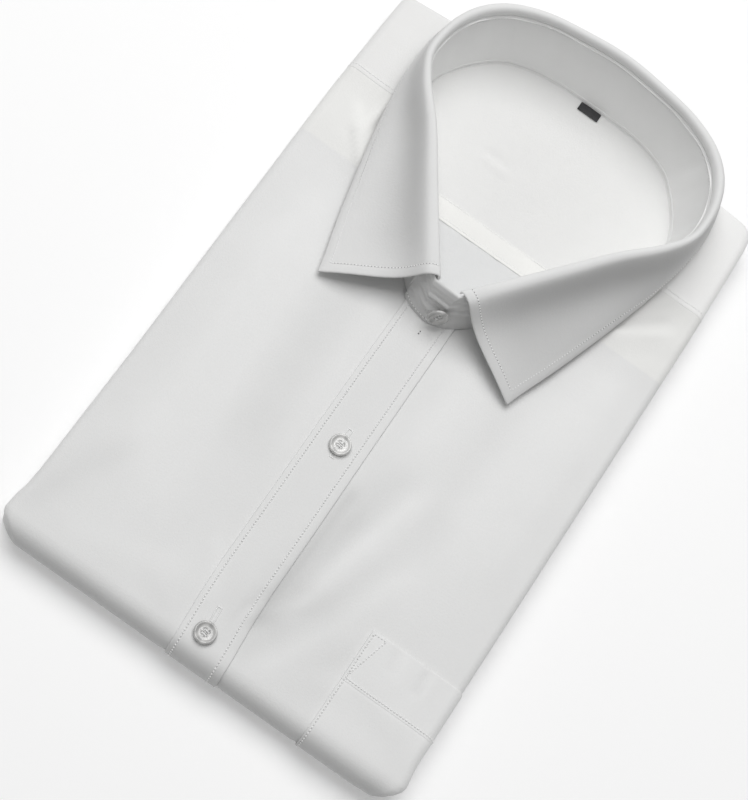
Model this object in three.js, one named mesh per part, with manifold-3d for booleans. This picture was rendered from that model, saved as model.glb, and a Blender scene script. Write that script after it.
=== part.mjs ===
// A folded dress shirt, lying front up with its buttoned collar standing open.
// Millimetres, +Z up. X runs across the chest, Y from the bottom fold to the collar, Z from the table.
import * as THREE from 'three';
import { mergeVertices } from 'three/addons/utils/BufferGeometryUtils.js';
import Module from 'manifold-3d';

const wasm = await Module();
wasm.setup();

// ---- Driving dimensions ----
const WIDTH = 233;                   // folded width
const STACK = 22;                    // thickness of the folded bundle
const CLOTH = 1.0;                   // wall of one panel
const SEAM_GAP = 0.3;                // clearance between neighbouring pieces
const EDGE_RADIUS = 4.75;            // side fold and shoulder fold of each half
const EDGE_WRAP = THREE.MathUtils.degToRad(160);   // how far a panel rolls over its edge
const CORNER_ROUND = { left: 1.5, right: 4.5 };    // plan rounding inside the shoulder corners
const TAIL_END = 350;                // where the lower fronts end on the underside

const PLACKET = { x: -4.5, width: 30, underlap: 12, top: 235 };
const YOKE_SEAM = { y: 316, slant: 1.7 };          // the slant lowers its right end
const BACK_SEAM_Y = 272.5;
const NECK_FLOOR = { half: 84, low: 208, high: 384, past: 0.5 };
const POCKET = { left: 62, top: 65, bandBottom: 36, bottom: -66 };
const LABEL = { x: 2.7, top: 382.4, width: 13.2, height: 5.6, wall: 0.7 };
const BUTTON = { radius: 5.9, thick: 2.4, rim: 0.7, hole: 0.8, holeOffset: 1.45, sides: 24 };
const BUTTONS = [
  { name: 'button_2', x: -3.6, y: 133.5 },
  { name: 'button_3', x: -4.6, y: 15.2 },
];
const COLLAR_BUTTON = { x: -3.1, rise: 0.42, stem: 0.4 };

const STAND_WALL = 1.6;
const FALL_WALL = 1.3;
const TAB_REACH = 14;                // how far the stand's tab runs past the centre front
const TAB_ROUND = 11;                // rounded upper corner of the tab
const TAB_DROP = 0.63;               // share of the stand's height that this corner takes off
const RIGHT_SWELL = 1.015;           // the collar's right half is a little fuller than its left
const LEFT_SWELL = 0.985;

// Shoulder fold, from the centre out to each side.
const SHOULDER_FOLD = [
  { out: 0, left: 387.5, right: 387.5 },
  { out: 30, left: 386.5, right: 387 },
  { out: 58, left: 382.5, right: 384.5 },
  { out: 82, left: 378.5, right: 381.5 },
  { out: 117, left: 375, right: 378.5 },
];

// How far each side stands out from the straight fold: the sides swell below the shoulders, and the
// bottom corners are ears that are cut away at the very fold.
const SIDE_SWELL = [
  { y: 0, left: -8, right: -7 },
  { y: 3.2, left: -3, right: -2 },
  { y: 6.8, left: 1.2, right: 0.1 },
  { y: 11, left: 2.3, right: 0.9 },
  { y: 20, left: 1.7, right: -0.2 },
  { y: 26, left: 0.5, right: -0.5 },
  { y: 36, left: 0, right: -0.4 },
  { y: 110, left: 0, right: 0.2 },
  { y: 300, left: 2.4, right: 1.2 },
  { y: 352, left: 1.5, right: 0.5 },
  { y: 390, left: 0.5, right: 0 },
];
const SWELL_FROM = 84;               // the swell starts this far from the centre

// The middle of the front drifts to the right near the bottom fold.
const FRONT_DRIFT = [
  { y: 0, shift: 3.9 },
  { y: 15, shift: 2.9 },
  { y: 30, shift: 1.7 },
  { y: 50, shift: 0.9 },
  { y: 90, shift: 0.7 },
  { y: 130, shift: 0.3 },
  { y: 180, shift: 0 },
];
const DRIFT_REACH = { full: 18, none: 62 };    // distances from the placket's middle

// Soft relief of the upper face: each row is a trough or a ridge between two points.
const RELIEF = [
  { x0: 31, y0: 126, x1: 15, y1: 42, width: 13, rise: -1.3 },
  { x0: 62, y0: 200, x1: 58, y1: 90, width: 26, rise: 0.9 },
  { x0: -64, y0: 190, x1: -60, y1: 70, width: 26, rise: 0.7 },
  { x0: 78, y0: 300, x1: 112, y1: 318, width: 11, rise: -0.9 },
  { x0: -82, y0: 305, x1: -110, y1: 322, width: 11, rise: -0.8 },
];

// Half of the collar from the centre back to the centre front: where the stand meets the neck (base),
// the stand's top edge with its height above the cloth (top), and the fall's free edge (edge).
const COLLAR = [
  { baseX: 0, baseY: 384.6, topX: 0, topY: 392, topZ: 38, edgeX: 0, edgeY: 406, edgeZ: -3 },
  { baseX: 26, baseY: 384, topX: 26, topY: 389.5, topZ: 38, edgeX: 33, edgeY: 403.5, edgeZ: -2.5 },
  { baseX: 40, baseY: 381.3, topX: 46, topY: 385.5, topZ: 38, edgeX: 60, edgeY: 397, edgeZ: -1.5 },
  { baseX: 54.5, baseY: 375.4, topX: 63, topY: 378, topZ: 37.5, edgeX: 78, edgeY: 387, edgeZ: 0.5 },
  { baseX: 65, baseY: 365.4, topX: 74, topY: 368, topZ: 37, edgeX: 88, edgeY: 372, edgeZ: 2.2 },
  { baseX: 74, baseY: 352.5, topX: 81, topY: 355, topZ: 37, edgeX: 92, edgeY: 353, edgeZ: 2.6 },
  { baseX: 79.5, baseY: 338, topX: 84, topY: 341, topZ: 36, edgeX: 91.5, edgeY: 335, edgeZ: 2.8 },
  { baseX: 78.5, baseY: 322, topX: 83, topY: 328, topZ: 35.5, edgeX: 89, edgeY: 317, edgeZ: 2.8 },
  { baseX: 71, baseY: 303, topX: 75.5, topY: 315, topZ: 34.5, edgeX: 85.5, edgeY: 297, edgeZ: 2.8 },
  { baseX: 55, baseY: 278, topX: 58, topY: 295, topZ: 33, edgeX: 80.5, edgeY: 274, edgeZ: 2.8 },
  { baseX: 38, baseY: 251, topX: 41, topY: 272, topZ: 31.5, edgeX: 74.5, edgeY: 250, edgeZ: 2.8 },
  { baseX: 22, baseY: 230, topX: 26, topY: 252, topZ: 30, edgeX: 68.5, edgeY: 228, edgeZ: 2.8 },
  { baseX: 10, baseY: 221, topX: 14, topY: 236.5, topZ: 29, edgeX: 64, edgeY: 213, edgeZ: 2.8 },
  { baseX: 0, baseY: 218.5, topX: 7, topY: 228, topZ: 28, edgeX: 61.5, edgeY: 203, edgeZ: 2.8 },
];
const COLLAR_AXIS = { frontX: -5.2, frontY: 221, backX: 1.7, backY: 383 };

// ---- Sizes that follow ----
const MID = STACK / 2;                         // mid-plane, and the bottom fold's radius
const FOLD_X = WIDTH / 2 - EDGE_RADIUS;        // centre line of the side fold
const FOLD_HEIGHT = MID - EDGE_RADIUS;         // side fold's centre above the mid-plane
const EDGE_END = FOLD_X + EDGE_RADIUS * EDGE_WRAP;
const NOSE_END = MID * (1 - Math.PI);          // row where the bottom fold meets the underside
const underRow = (y) => NOSE_END + MID - y;    // row of a point at y on the underside
const CORE_HEEL = 4.2;                         // height above the mid-plane where the core's side closes
const PLACKET_LEFT = PLACKET.x - PLACKET.width / 2;
const PLACKET_RIGHT = PLACKET.x + PLACKET.width / 2;
const ON_TOP = CLOTH + SEAM_GAP;               // lift of a second layer's outer face
const FLOOR_LIFT = -CLOTH - SEAM_GAP;          // lift of the neck floor's upper face

// Where the cloth sinks under a second layer: beside its edges, and, in bottom fold radii, how far
// round the fold it begins and ends.
const SINK = { far: 3.5, near: 0.6, start: 1, end: 2.6 };
const EDGE_FADE = { fold: 25, side: 14, corner: 3 };   // relief dies out over these distances

// ---- The folded cloth's surface ----
const smooth = THREE.MathUtils.smoothstep;

// Straight lines between the rows of a table, from one named column to another.
function lookUp(table, from, value, to) {
  const next = table.findIndex((row) => row[from] >= value);
  if (next === 0) return table[0][to];
  if (next < 0) return table[table.length - 1][to];
  const low = table[next - 1];
  const high = table[next];
  return THREE.MathUtils.mapLinear(value, low[from], high[from], low[to], high[to]);
}

const sideOf = (x) => (x > 0 ? 'right' : 'left');

function shoulderFold(x) {
  return lookUp(SHOULDER_FOLD, 'out', Math.abs(x), sideOf(x));
}

// How far the front's middle has drifted at a column and a distance from the bottom fold.
function drift(column, y) {
  const share = 1 - smooth(Math.abs(column - PLACKET.x), DRIFT_REACH.full, DRIFT_REACH.none);
  return share * lookUp(FRONT_DRIFT, 'y', y, 'shift');
}

// Sideways shift of the cloth at a column and row; it is the same for every layer.
function swell(column, row) {
  const turn = Math.min((MID - row) / MID, Math.PI);
  let y = row;
  if (turn > 0) y = turn < Math.PI ? MID - MID * Math.sin(turn) : MID + NOSE_END - row;
  const share = smooth(Math.abs(column), SWELL_FROM, FOLD_X);
  const out = lookUp(SIDE_SWELL, 'y', Math.max(0, y), sideOf(column));
  return Math.sign(column) * share * out + drift(column, Math.max(0, y));
}

function relief(x, y) {
  let rise = 0;
  for (const fold of RELIEF) {
    const length = Math.hypot(fold.x1 - fold.x0, fold.y1 - fold.y0);
    const dx = (fold.x1 - fold.x0) / length;
    const dy = (fold.y1 - fold.y0) / length;
    const along = (x - fold.x0) * dx + (y - fold.y0) * dy;
    const across = (x - fold.x0) * dy - (y - fold.y0) * dx;
    const beyond = Math.max(0, -along, along - length);
    rise += fold.rise * Math.exp(-(across * across + beyond * beyond) / (fold.width * fold.width));
  }
  return rise;
}

// Layers that lie on a panel sink flush into the stack on the underside, so that it rests flat.
function sink(column, row) {
  const turned = smooth(MID - row, SINK.start * MID, SINK.end * MID);
  const placket = smooth(column, PLACKET_LEFT - SINK.far, PLACKET_LEFT - SINK.near)
    - smooth(column, PLACKET_RIGHT + SINK.near, PLACKET_RIGHT + SINK.far);
  const pocket = smooth(column, POCKET.left - SINK.far, POCKET.left - SINK.near)
    * smooth(row, POCKET.bottom - SINK.far, POCKET.bottom - SINK.near);
  return ON_TOP * turned * Math.max(placket, pocket);
}

// A point of the cloth: column is the distance across, row the distance down from the shoulder,
// both measured along the cloth where it rolls over an edge, and lift is the distance outside it.
function clothPoint(column, row, lift) {
  const corner = column > 0 ? CORNER_ROUND.right : CORNER_ROUND.left;
  const centreX = FOLD_X - corner;
  const centreY = shoulderFold(column) - EDGE_RADIUS - corner;
  const offset = lift - sink(column, row);
  const pastX = Math.max(0, Math.abs(column) - centreX);
  const pastY = Math.max(0, row - centreY);
  const reach = Math.max(pastX, pastY);
  const outside = Math.max(0, reach - corner);
  const angle = outside / EDGE_RADIUS;
  const arm = Math.min(reach, corner) + (angle > 0 ? (EDGE_RADIUS + offset) * Math.sin(angle) : 0);
  const spread = Math.hypot(pastX, pastY) || 1;
  const x = pastX > 0 ? Math.sign(column) * (centreX + arm * pastX / spread) : column;
  const y = pastY > 0 ? centreY + arm * pastY / spread : row;
  const height = FOLD_HEIGHT + (EDGE_RADIUS + offset) * Math.cos(angle);
  const fade = smooth(row, MID, MID + EDGE_FADE.fold) * smooth(corner - reach, 0, EDGE_FADE.corner)
    * smooth(FOLD_X - Math.abs(x), 0, EDGE_FADE.side);
  return bundlePoint(x + swell(column, row), y, height, row, relief(x, y) * fade);
}

// Places a point of the upper half, height above the mid-plane, on the half that its row belongs to:
// the upper one, the turn round the bottom fold, or the underside.
function bundlePoint(x, y, height, row, rise = 0) {
  if (row >= MID) return new THREE.Vector3(x, y, MID + height + rise);
  const turn = (MID - row) / MID;
  if (turn < Math.PI) {
    return new THREE.Vector3(x, MID - height * Math.sin(turn), MID + height * Math.cos(turn));
  }
  return new THREE.Vector3(x, MID + NOSE_END - row, MID - height);
}

// The front yoke seam runs slightly down to the right; the rows near it follow.
function slanted(column, row) {
  return row - YOKE_SEAM.slant * (column / (WIDTH / 2)) * smooth(row, 200, YOKE_SEAM.y);
}

// ---- Solids from points ----
function geometryFrom(points, faces) {
  const geometry = new THREE.BufferGeometry().setFromPoints(points);
  geometry.setIndex(faces.flat());
  const merged = mergeVertices(geometry, 1e-4);
  const index = [...merged.index.array];
  const kept = [];
  for (let i = 0; i < index.length; i += 3) {
    const [a, b, c] = index.slice(i, i + 3);
    if (a !== b && b !== c && c !== a) kept.push(a, b, c);
  }
  merged.setIndex(kept);
  return facingOut(merged);
}

function facingOut(geometry) {
  const place = geometry.attributes.position;
  const index = geometry.index.array;
  const corner = [0, 1, 2].map(() => new THREE.Vector3());
  let volume = 0;
  for (let i = 0; i < index.length; i += 3) {
    corner.forEach((point, k) => point.fromBufferAttribute(place, index[i + k]));
    volume += corner[0].dot(corner[1].cross(corner[2]));
  }
  if (volume < 0) {
    geometry.setIndex(Array.from(index).reverse());
  }
  return geometry;
}

// A wall between two grids of points: at(i, j, face) gives the outer (0) and inner (1) face.
function wall(columns, rows, at) {
  const points = [];
  const number = (i, j, face) => (face * columns + i) * rows + j;
  for (const face of [0, 1]) {
    for (let i = 0; i < columns; i++) {
      for (let j = 0; j < rows; j++) points.push(at(i, j, face));
    }
  }
  const faces = [];
  const quad = (a, b, c, d) => faces.push([a, b, c], [a, c, d]);
  for (let i = 0; i + 1 < columns; i++) {
    for (let j = 0; j + 1 < rows; j++) {
      quad(number(i, j, 0), number(i + 1, j, 0), number(i + 1, j + 1, 0), number(i, j + 1, 0));
      const [a, c] = [number(i, j, 1), number(i + 1, j + 1, 1)];
      faces.push([a, c, number(i + 1, j, 1)], [a, number(i, j + 1, 1), c]);
    }
    quad(number(i, 0, 1), number(i + 1, 0, 1), number(i + 1, 0, 0), number(i, 0, 0));
    const foot = rows - 1;
    quad(number(i, foot, 0), number(i + 1, foot, 0), number(i + 1, foot, 1), number(i, foot, 1));
  }
  for (let j = 0; j + 1 < rows; j++) {
    quad(number(0, j, 0), number(0, j + 1, 0), number(0, j + 1, 1), number(0, j, 1));
    const last = columns - 1;
    quad(number(last, j, 1), number(last, j + 1, 1), number(last, j + 1, 0), number(last, j, 0));
  }
  return geometryFrom(points, faces);
}

// A solid through closed rings of equal length, capped at both ends.
function loft(rings) {
  const size = rings[0].length;
  const points = rings.flat();
  const faces = [];
  for (let k = 0; k + 1 < rings.length; k++) {
    for (let i = 0; i < size; i++) {
      const [a, b] = [k * size + i, k * size + ((i + 1) % size)];
      faces.push([a, b, b + size], [a, b + size, a + size]);
    }
  }
  for (const [ring, base] of [[rings[0], 0], [rings[rings.length - 1], (rings.length - 1) * size]]) {
    const centre = new THREE.Vector3();
    ring.forEach((point) => centre.addScaledVector(point, 1 / size));
    points.push(centre);
    for (let i = 0; i < size; i++) {
      const [a, b] = [base + i, base + ((i + 1) % size)];
      faces.push(base ? [a, b, points.length - 1] : [b, a, points.length - 1]);
    }
  }
  return geometryFrom(points, faces);
}

// The geometry with only its positions, shared vertices merged.
function bareCopy(geometry) {
  const bare = geometry.clone();
  bare.deleteAttribute('normal');
  bare.deleteAttribute('uv');
  return mergeVertices(bare, 1e-4);
}

function solid(geometry) {
  const merged = bareCopy(geometry);
  return new wasm.Manifold(new wasm.Mesh({
    numProp: 3,
    vertProperties: merged.attributes.position.array,
    triVerts: new Uint32Array(merged.index.array),
  }));
}

function geometryOf(manifold) {
  const mesh = manifold.getMesh();
  const geometry = new THREE.BufferGeometry();
  geometry.setAttribute('position', new THREE.BufferAttribute(mesh.vertProperties, 3));
  geometry.setIndex(new THREE.BufferAttribute(mesh.triVerts, 1));
  return geometry;
}

function cut(geometry, ...tools) {
  return geometryOf(tools.reduce((left, tool) => left.subtract(solid(tool)), solid(geometry)));
}

// ---- Stations shared by every layer, so that their facets stay parallel ----
const SIDE_COLUMNS = [32, 48, POCKET.left, 76, 90, 101, FOLD_X];
const WRAP_STEPS = 5;
const PLACKET_COLUMNS = [PLACKET_LEFT, PLACKET.x, PLACKET_RIGHT];
const TOP_ROWS = [
  300, BACK_SEAM_Y, 255, 235, 212, 185, 160, 135, 110, 88, POCKET.top, POCKET.bandBottom, 26, 20, MID,
];
const NOSE_STEPS = 8;
const YOKE_ROWS = [334, 352, 366];
const FOLD_STEPS = 7;

const wrapColumns = [];
for (let step = 1; step <= WRAP_STEPS; step++) {
  wrapColumns.push(FOLD_X + EDGE_RADIUS * EDGE_WRAP * step / WRAP_STEPS);
}
const rightColumns = [...SIDE_COLUMNS, ...wrapColumns];
const leftColumns = rightColumns.map((column) => -column).reverse();
const sinkColumns = [SINK.far, SINK.near].flatMap((reach) => [
  PLACKET_LEFT - reach, PLACKET_RIGHT + reach, POCKET.left - reach,
]);
const allColumns = [...leftColumns, ...rightColumns, ...PLACKET_COLUMNS, ...sinkColumns];
allColumns.sort((a, b) => a - b);

const noseRows = [];
for (let step = 1; step <= NOSE_STEPS; step++) {
  noseRows.push(MID * (1 - Math.PI * step / NOSE_STEPS));
}
const underRows = [
  underRow(20), underRow(26), underRow(36),
  POCKET.bottom, POCKET.bottom - SINK.near, POCKET.bottom - SINK.far,
  underRow(300), underRow(TAIL_END),
];
const downRows = [...TOP_ROWS, ...noseRows, ...underRows];

const between = (list, low, high) => list.filter((value) => value > low && value < high);
const APART = 0.05;                  // two stations are never closer than this
const columnsFrom = (low, high) => [low, ...between(allColumns, low + APART, high - APART), high];
const rowsFrom = (high, low) => [high, ...between(downRows, low + APART, high - APART), low];

// A panel of the folded cloth, from one row down to another.
function panel(columns, rows, outer, inner) {
  return wall(columns.length, rows.length, (i, j, face) => {
    const row = slanted(columns[i], rows[j]);
    return clothPoint(columns[i], row, face === 0 ? outer : inner);
  });
}

// ---- Collar curves ----
function collarAxis(y) {
  const { frontX, frontY, backX, backY } = COLLAR_AXIS;
  return THREE.MathUtils.mapLinear(y, frontY, backY, frontX, backX);
}

function collarCurve(part) {
  const half = (side, swell) => COLLAR.map((row) => new THREE.Vector3(
    collarAxis(row[`${part}Y`]) + side * swell * row[`${part}X`],
    row[`${part}Y`],
    STACK + (row[`${part}Z`] ?? 0),
  ));
  const left = half(-1, LEFT_SWELL).reverse();
  const right = half(1, RIGHT_SWELL).slice(1);
  return new THREE.CatmullRomCurve3([...left, ...right], false, 'centripetal');
}

const baseCurve = collarCurve('base');
const topCurve = collarCurve('top');
const edgeCurve = collarCurve('edge');

// Outward direction of a collar curve in plan; the curves run from the left front over the back.
const NUDGE = 0.004;

function outward(curve, at) {
  const ahead = curve.getPoint(Math.min(1, at + NUDGE));
  const behind = curve.getPoint(Math.max(0, at - NUDGE));
  return new THREE.Vector3(behind.y - ahead.y, ahead.x - behind.x, 0).normalize();
}

// The stand's base rests on the fronts, the yoke and, at the centre front, the placket.
const STEP = { near: 1.5, far: 5 };          // ramp of the base beside the placket
const PLACKET_TOP = { low: 250, high: 262 }; // the placket carries the base only in front of this

function seatHeight(x, y) {
  const surface = clothPoint(x, y, 0).z;
  const onPlacket = smooth(x, PLACKET_LEFT - STEP.far, PLACKET_LEFT - STEP.near)
    - smooth(x, PLACKET_RIGHT + STEP.near, PLACKET_RIGHT + STEP.far);
  const atFront = 1 - smooth(y, PLACKET_TOP.low, PLACKET_TOP.high);
  return surface + SEAM_GAP + ON_TOP * onPlacket * atFront;
}

// A point of the stand's outer face (depth 0) or inner face (depth 1); past the curves' end the
// stand runs on outside its other end, as the buttoned tab.
const TAB_LAP = STAND_WALL + SEAM_GAP + 0.25;
const LAP_START = 0.9;

function standPoint(at, rise, depth) {
  const lap = TAB_LAP * (at > 1 ? 1 : smooth(at, LAP_START, 1));
  const place = at > 1 ? at - 1 : at;
  const base = baseCurve.getPoint(place);
  const top = topCurve.getPoint(place);
  const normal = outward(baseCurve, place);
  const shift = lap - depth * STAND_WALL;
  base.addScaledVector(normal, shift);
  top.addScaledVector(normal, shift);
  base.z = seatHeight(base.x, base.y);
  return base.lerp(top, rise);
}

const STAND_STATIONS = 52;
const TAB_STATIONS = 5;
const STAND_ROWS = 4;

// Curve position at which the tab ends, measured along the left front.
function tabEnd() {
  let at = 0;
  const start = baseCurve.getPoint(0).x;
  while (start - baseCurve.getPoint(at).x < TAB_REACH) at += NUDGE / 2;
  return at;
}

function standGeometry() {
  const end = tabEnd();
  const places = [];
  for (let i = 0; i <= STAND_STATIONS; i++) places.push(i / STAND_STATIONS);
  for (let i = 1; i <= TAB_STATIONS; i++) places.push(1 + end * i / TAB_STATIONS);
  return wall(places.length, STAND_ROWS, (i, j, face) => {
    const past = Math.max(0, places[i] - 1) / end * TAB_REACH;
    const corner = Math.max(0, past - (TAB_REACH - TAB_ROUND)) / TAB_ROUND;
    const height = 1 - TAB_DROP * (1 - Math.sqrt(1 - Math.min(1, corner * corner)));
    return standPoint(places[i], height * j / (STAND_ROWS - 1), face);
  });
}

// The fall: from just above the stand's top edge it rolls over outward and drops to its free edge.
const FALL_STATIONS = 52;
const FALL_ROWS = 10;
const FALL_EASE = 1.25;              // rows lie closer together on the roll
const ROLL = {
  rise: 7.5, out: 7, seat: 0.7,      // how far it climbs and swings out, and its gap to the stand
  outMore: 2, follow: 0.12, overRise: 0.55, lean: 0.25,
  calm: 0.45, calmFrom: 0.75,        // it is flatter towards the front ends
};
// The leaf hangs a little hollow between the roll and its free edge, most of all at the sides.
const HOLLOW = {
  from: 0.35, backDrop: 1.2, sideDrop: 4.3, backIn: 0.8, sideIn: 1.4, sideFrom: 0.3, sideTo: 0.7,
};

function fallMiddle(at, across) {
  const top = topCurve.getPoint(at);
  const edge = edgeCurve.getPoint(at);
  const base = baseCurve.getPoint(at);
  const normal = outward(topCurve, at);
  top.z += ROLL.seat;
  top.addScaledVector(normal, -STAND_WALL / 2);
  const front = Math.abs(at - 0.5) * 2;
  const full = 1 - ROLL.calm * smooth(front, ROLL.calmFrom, 1);
  const lean = top.clone().sub(base).setZ(0).multiplyScalar(ROLL.lean);
  const rising = top.clone().add(lean).add(new THREE.Vector3(0, 0, ROLL.rise * full));
  const over = top.clone().addScaledVector(normal, ROLL.out * full + ROLL.outMore).lerp(edge, ROLL.follow);
  over.z = top.z + ROLL.rise * ROLL.overRise * full;
  const curve = new THREE.CubicBezierCurve3(top, rising, over, edge);
  const point = curve.getPoint(across);
  const hung = THREE.MathUtils.clamp((across - HOLLOW.from) / (1 - HOLLOW.from), 0, 1);
  const hollow = Math.sin(Math.PI * hung) ** 2;
  const side = smooth(front, HOLLOW.sideFrom, HOLLOW.sideTo);
  point.z -= hollow * (HOLLOW.backDrop + HOLLOW.sideDrop * side);
  return point.addScaledVector(normal, -hollow * (HOLLOW.backIn + HOLLOW.sideIn * side));
}

function fallPoint(at, across, face) {
  const [behind, ahead] = [Math.max(0, at - NUDGE), Math.min(1, at + NUDGE)];
  const [above, below] = [Math.max(0, across - NUDGE), Math.min(1, across + NUDGE)];
  const alongCloth = fallMiddle(ahead, across).sub(fallMiddle(behind, across));
  const acrossCloth = fallMiddle(at, below).sub(fallMiddle(at, above));
  const normal = acrossCloth.cross(alongCloth).normalize();
  return fallMiddle(at, across).addScaledVector(normal, (face === 0 ? 1 : -1) * FALL_WALL / 2);
}

function fallGeometry() {
  return wall(FALL_STATIONS + 1, FALL_ROWS, (i, j, face) => {
    const across = (j / (FALL_ROWS - 1)) ** FALL_EASE;
    return fallPoint(i / FALL_STATIONS, across, face);
  });
}

// The neck opening: a prism inside the stand's inner face.
const NECK_POINTS = 48;

function neckPrism(inset) {
  const outline = [];
  for (let i = 0; i < NECK_POINTS; i++) {
    const at = i / NECK_POINTS;
    const point = baseCurve.getPoint(at);
    point.addScaledVector(outward(baseCurve, at), -STAND_WALL - inset);
    outline.push(new THREE.Vector2(point.x, point.y));
  }
  const prism = new THREE.ExtrudeGeometry(new THREE.Shape(outline), { depth: STACK, bevelEnabled: false });
  return prism.translate(0, 0, MID + CORE_HEEL);
}

// ---- Pieces ----
const neckHole = neckPrism(SEAM_GAP);

function frontGeometry(columns) {
  return cut(panel(columns, rowsFrom(YOKE_SEAM.y - SEAM_GAP / 2, underRow(TAIL_END)), 0, -CLOTH), neckHole);
}

function placketGeometry() {
  const rows = rowsFrom(PLACKET.top, underRow(TAIL_END));
  return cut(panel(PLACKET_COLUMNS, rows, ON_TOP, SEAM_GAP), neckHole);
}

function pocketGeometry(high, low) {
  const end = wrapColumns[WRAP_STEPS - 2];
  return panel(columnsFrom(POCKET.left, end), rowsFrom(high, low), ON_TOP, SEAM_GAP);
}

function yokeGeometry() {
  const columns = columnsFrom(-EDGE_END, EDGE_END);
  const steps = FOLD_STEPS + YOKE_ROWS.length + 2;
  const solidYoke = wall(columns.length, steps, (i, j, face) => {
    const fold = shoulderFold(columns[i]);
    let row = slanted(columns[i], YOKE_SEAM.y + SEAM_GAP / 2);
    if (j > 0 && j <= YOKE_ROWS.length) row = slanted(columns[i], YOKE_ROWS[j - 1]);
    if (j > YOKE_ROWS.length) {
      const turn = (j - YOKE_ROWS.length - 1) / FOLD_STEPS;
      row = fold - EDGE_RADIUS + EDGE_RADIUS * EDGE_WRAP * turn;
    }
    return clothPoint(columns[i], row, face === 0 ? 0 : -CLOTH);
  });
  return cut(solidYoke, neckHole);
}

// The neck floor: a layer inside the fronts and the yoke, of the lining or the back.
function floorPanel(high, low, outer, inner, spread) {
  const half = NECK_FLOOR.half + spread;
  const columns = columnsFrom(-half, half);
  const rows = [high, ...between([...YOKE_ROWS].reverse().concat(TOP_ROWS), low + 1, high - 1), low];
  return wall(columns.length, rows.length, (i, j, face) => {
    const room = shoulderFold(columns[i]) - EDGE_RADIUS + NECK_FLOOR.past + spread;
    return clothPoint(columns[i], Math.min(rows[j], room), face === 0 ? outer : inner);
  });
}

// The hidden layers: one rounded solid inside the panels, with the edges of its plies showing.
const PLIES = [
  { low: 9.75, wall: 1.15, side: 2.2, top: 366 },
  { low: 11.1, wall: 1.15, side: 1.2, top: 368.5 },
  { low: 2.7, wall: 2.0, side: 8, top: 355 },
  { low: 5.0, wall: 2.0, side: 7.5, top: 361 },
  { low: 7.3, wall: 2.1, side: 7.6, top: 357.5 },
];
const CORE_LIFT = FLOOR_LIFT - 0.12;
const CORE_SPLIT = 345;              // where the lower half of the bundle ends
const CORE_INSET = 0.12;
const HEEL = { inset: 9.5, clearFrom: 36 };   // room for the ears at the bottom corners
const CORE_TURNS = 4;                // facets of the core's rounded upper end
const PLY_LOW = 14;                  // where the plies start, just past the bottom fold
const PLY_CORNER = 6;
const PLY_BEVEL = 0.5;

function plyGeometry(ply) {
  const half = WIDTH / 2 - ply.side - PLY_BEVEL;
  const low = PLY_LOW + PLY_BEVEL;
  const high = ply.top - PLY_BEVEL;
  const shape = new THREE.Shape();
  shape.moveTo(-half, low);
  shape.lineTo(half, low);
  shape.lineTo(half, high - PLY_CORNER);
  shape.absarc(half - PLY_CORNER, high - PLY_CORNER, PLY_CORNER, 0, Math.PI / 2, false);
  shape.lineTo(PLY_CORNER - half, high);
  shape.absarc(PLY_CORNER - half, high - PLY_CORNER, PLY_CORNER, Math.PI / 2, Math.PI, false);
  const geometry = new THREE.ExtrudeGeometry(shape, {
    depth: ply.wall - 2 * PLY_BEVEL,
    bevelThickness: PLY_BEVEL,
    bevelSize: PLY_BEVEL,
    bevelSegments: 2,
    curveSegments: 4,
  });
  return geometry.translate(0, 0, ply.low + PLY_BEVEL);
}

function layersGeometry() {
  const quarter = FOLD_X + EDGE_RADIUS * Math.PI / 2;
  const mirrored = (row) => NOSE_END + MID - row;
  const columns = columnsFrom(-quarter, quarter);
  const heel = (side, row) => {
    const y = Math.max(row, mirrored(row));
    const clear = smooth(y, MID, HEEL.clearFrom);
    const x = side * (FOLD_X - HEEL.inset * (1 - clear)) + clear * swell(side * FOLD_X, row);
    return bundlePoint(x, Math.max(row, MID), CORE_HEEL, row);
  };
  const marks = [CORE_SPLIT, YOKE_ROWS[0], YOKE_SEAM.y, ...TOP_ROWS, ...underRows.map(mirrored)];
  const flat = marks.filter((row) => row <= CORE_SPLIT && row >= MID).sort((a, b) => b - a);
  const upper = [...flat, ...noseRows.slice(0, NOSE_STEPS / 2)];
  const lowerHalf = solid(loft(upper.map((row) => [
    ...columns.map((column) => clothPoint(column, slanted(column, row), CORE_LIFT)),
    heel(1, row),
    heel(1, mirrored(row)),
    ...[...columns].reverse().map((column) => clothPoint(column, mirrored(row), CORE_LIFT)),
    heel(-1, mirrored(row)),
    heel(-1, row),
  ])));
  const flatRows = YOKE_ROWS.slice(0, 2);
  const upperHalf = solid(wall(columns.length, flatRows.length + CORE_TURNS + 1, (i, j, face) => {
    const column = columns[i];
    const fold = shoulderFold(column) - EDGE_RADIUS;
    const turn = (j - flatRows.length) / CORE_TURNS;
    const row = turn < 0 ? slanted(column, flatRows[j]) : fold + EDGE_RADIUS * Math.PI / 2 * turn;
    const point = clothPoint(column, row, CORE_LIFT);
    if (face === 0) return point;
    const flatColumn = THREE.MathUtils.clamp(column, -FOLD_X, FOLD_X);
    const heelPoint = clothPoint(flatColumn, Math.min(row, fold), CORE_LIFT);
    return heelPoint.lerp(point, CORE_INSET).setZ(MID + CORE_HEEL);
  }));
  const plies = PLIES.map((ply) => solid(plyGeometry(ply)));
  const joined = [upperHalf, ...plies].reduce((whole, part) => whole.add(part), lowerHalf);
  const floorRoom = floorPanel(NECK_FLOOR.high, NECK_FLOOR.low - SEAM_GAP, STACK, 2 * FLOOR_LIFT, SEAM_GAP);
  return geometryOf(joined.subtract(solid(floorRoom)));
}

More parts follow.
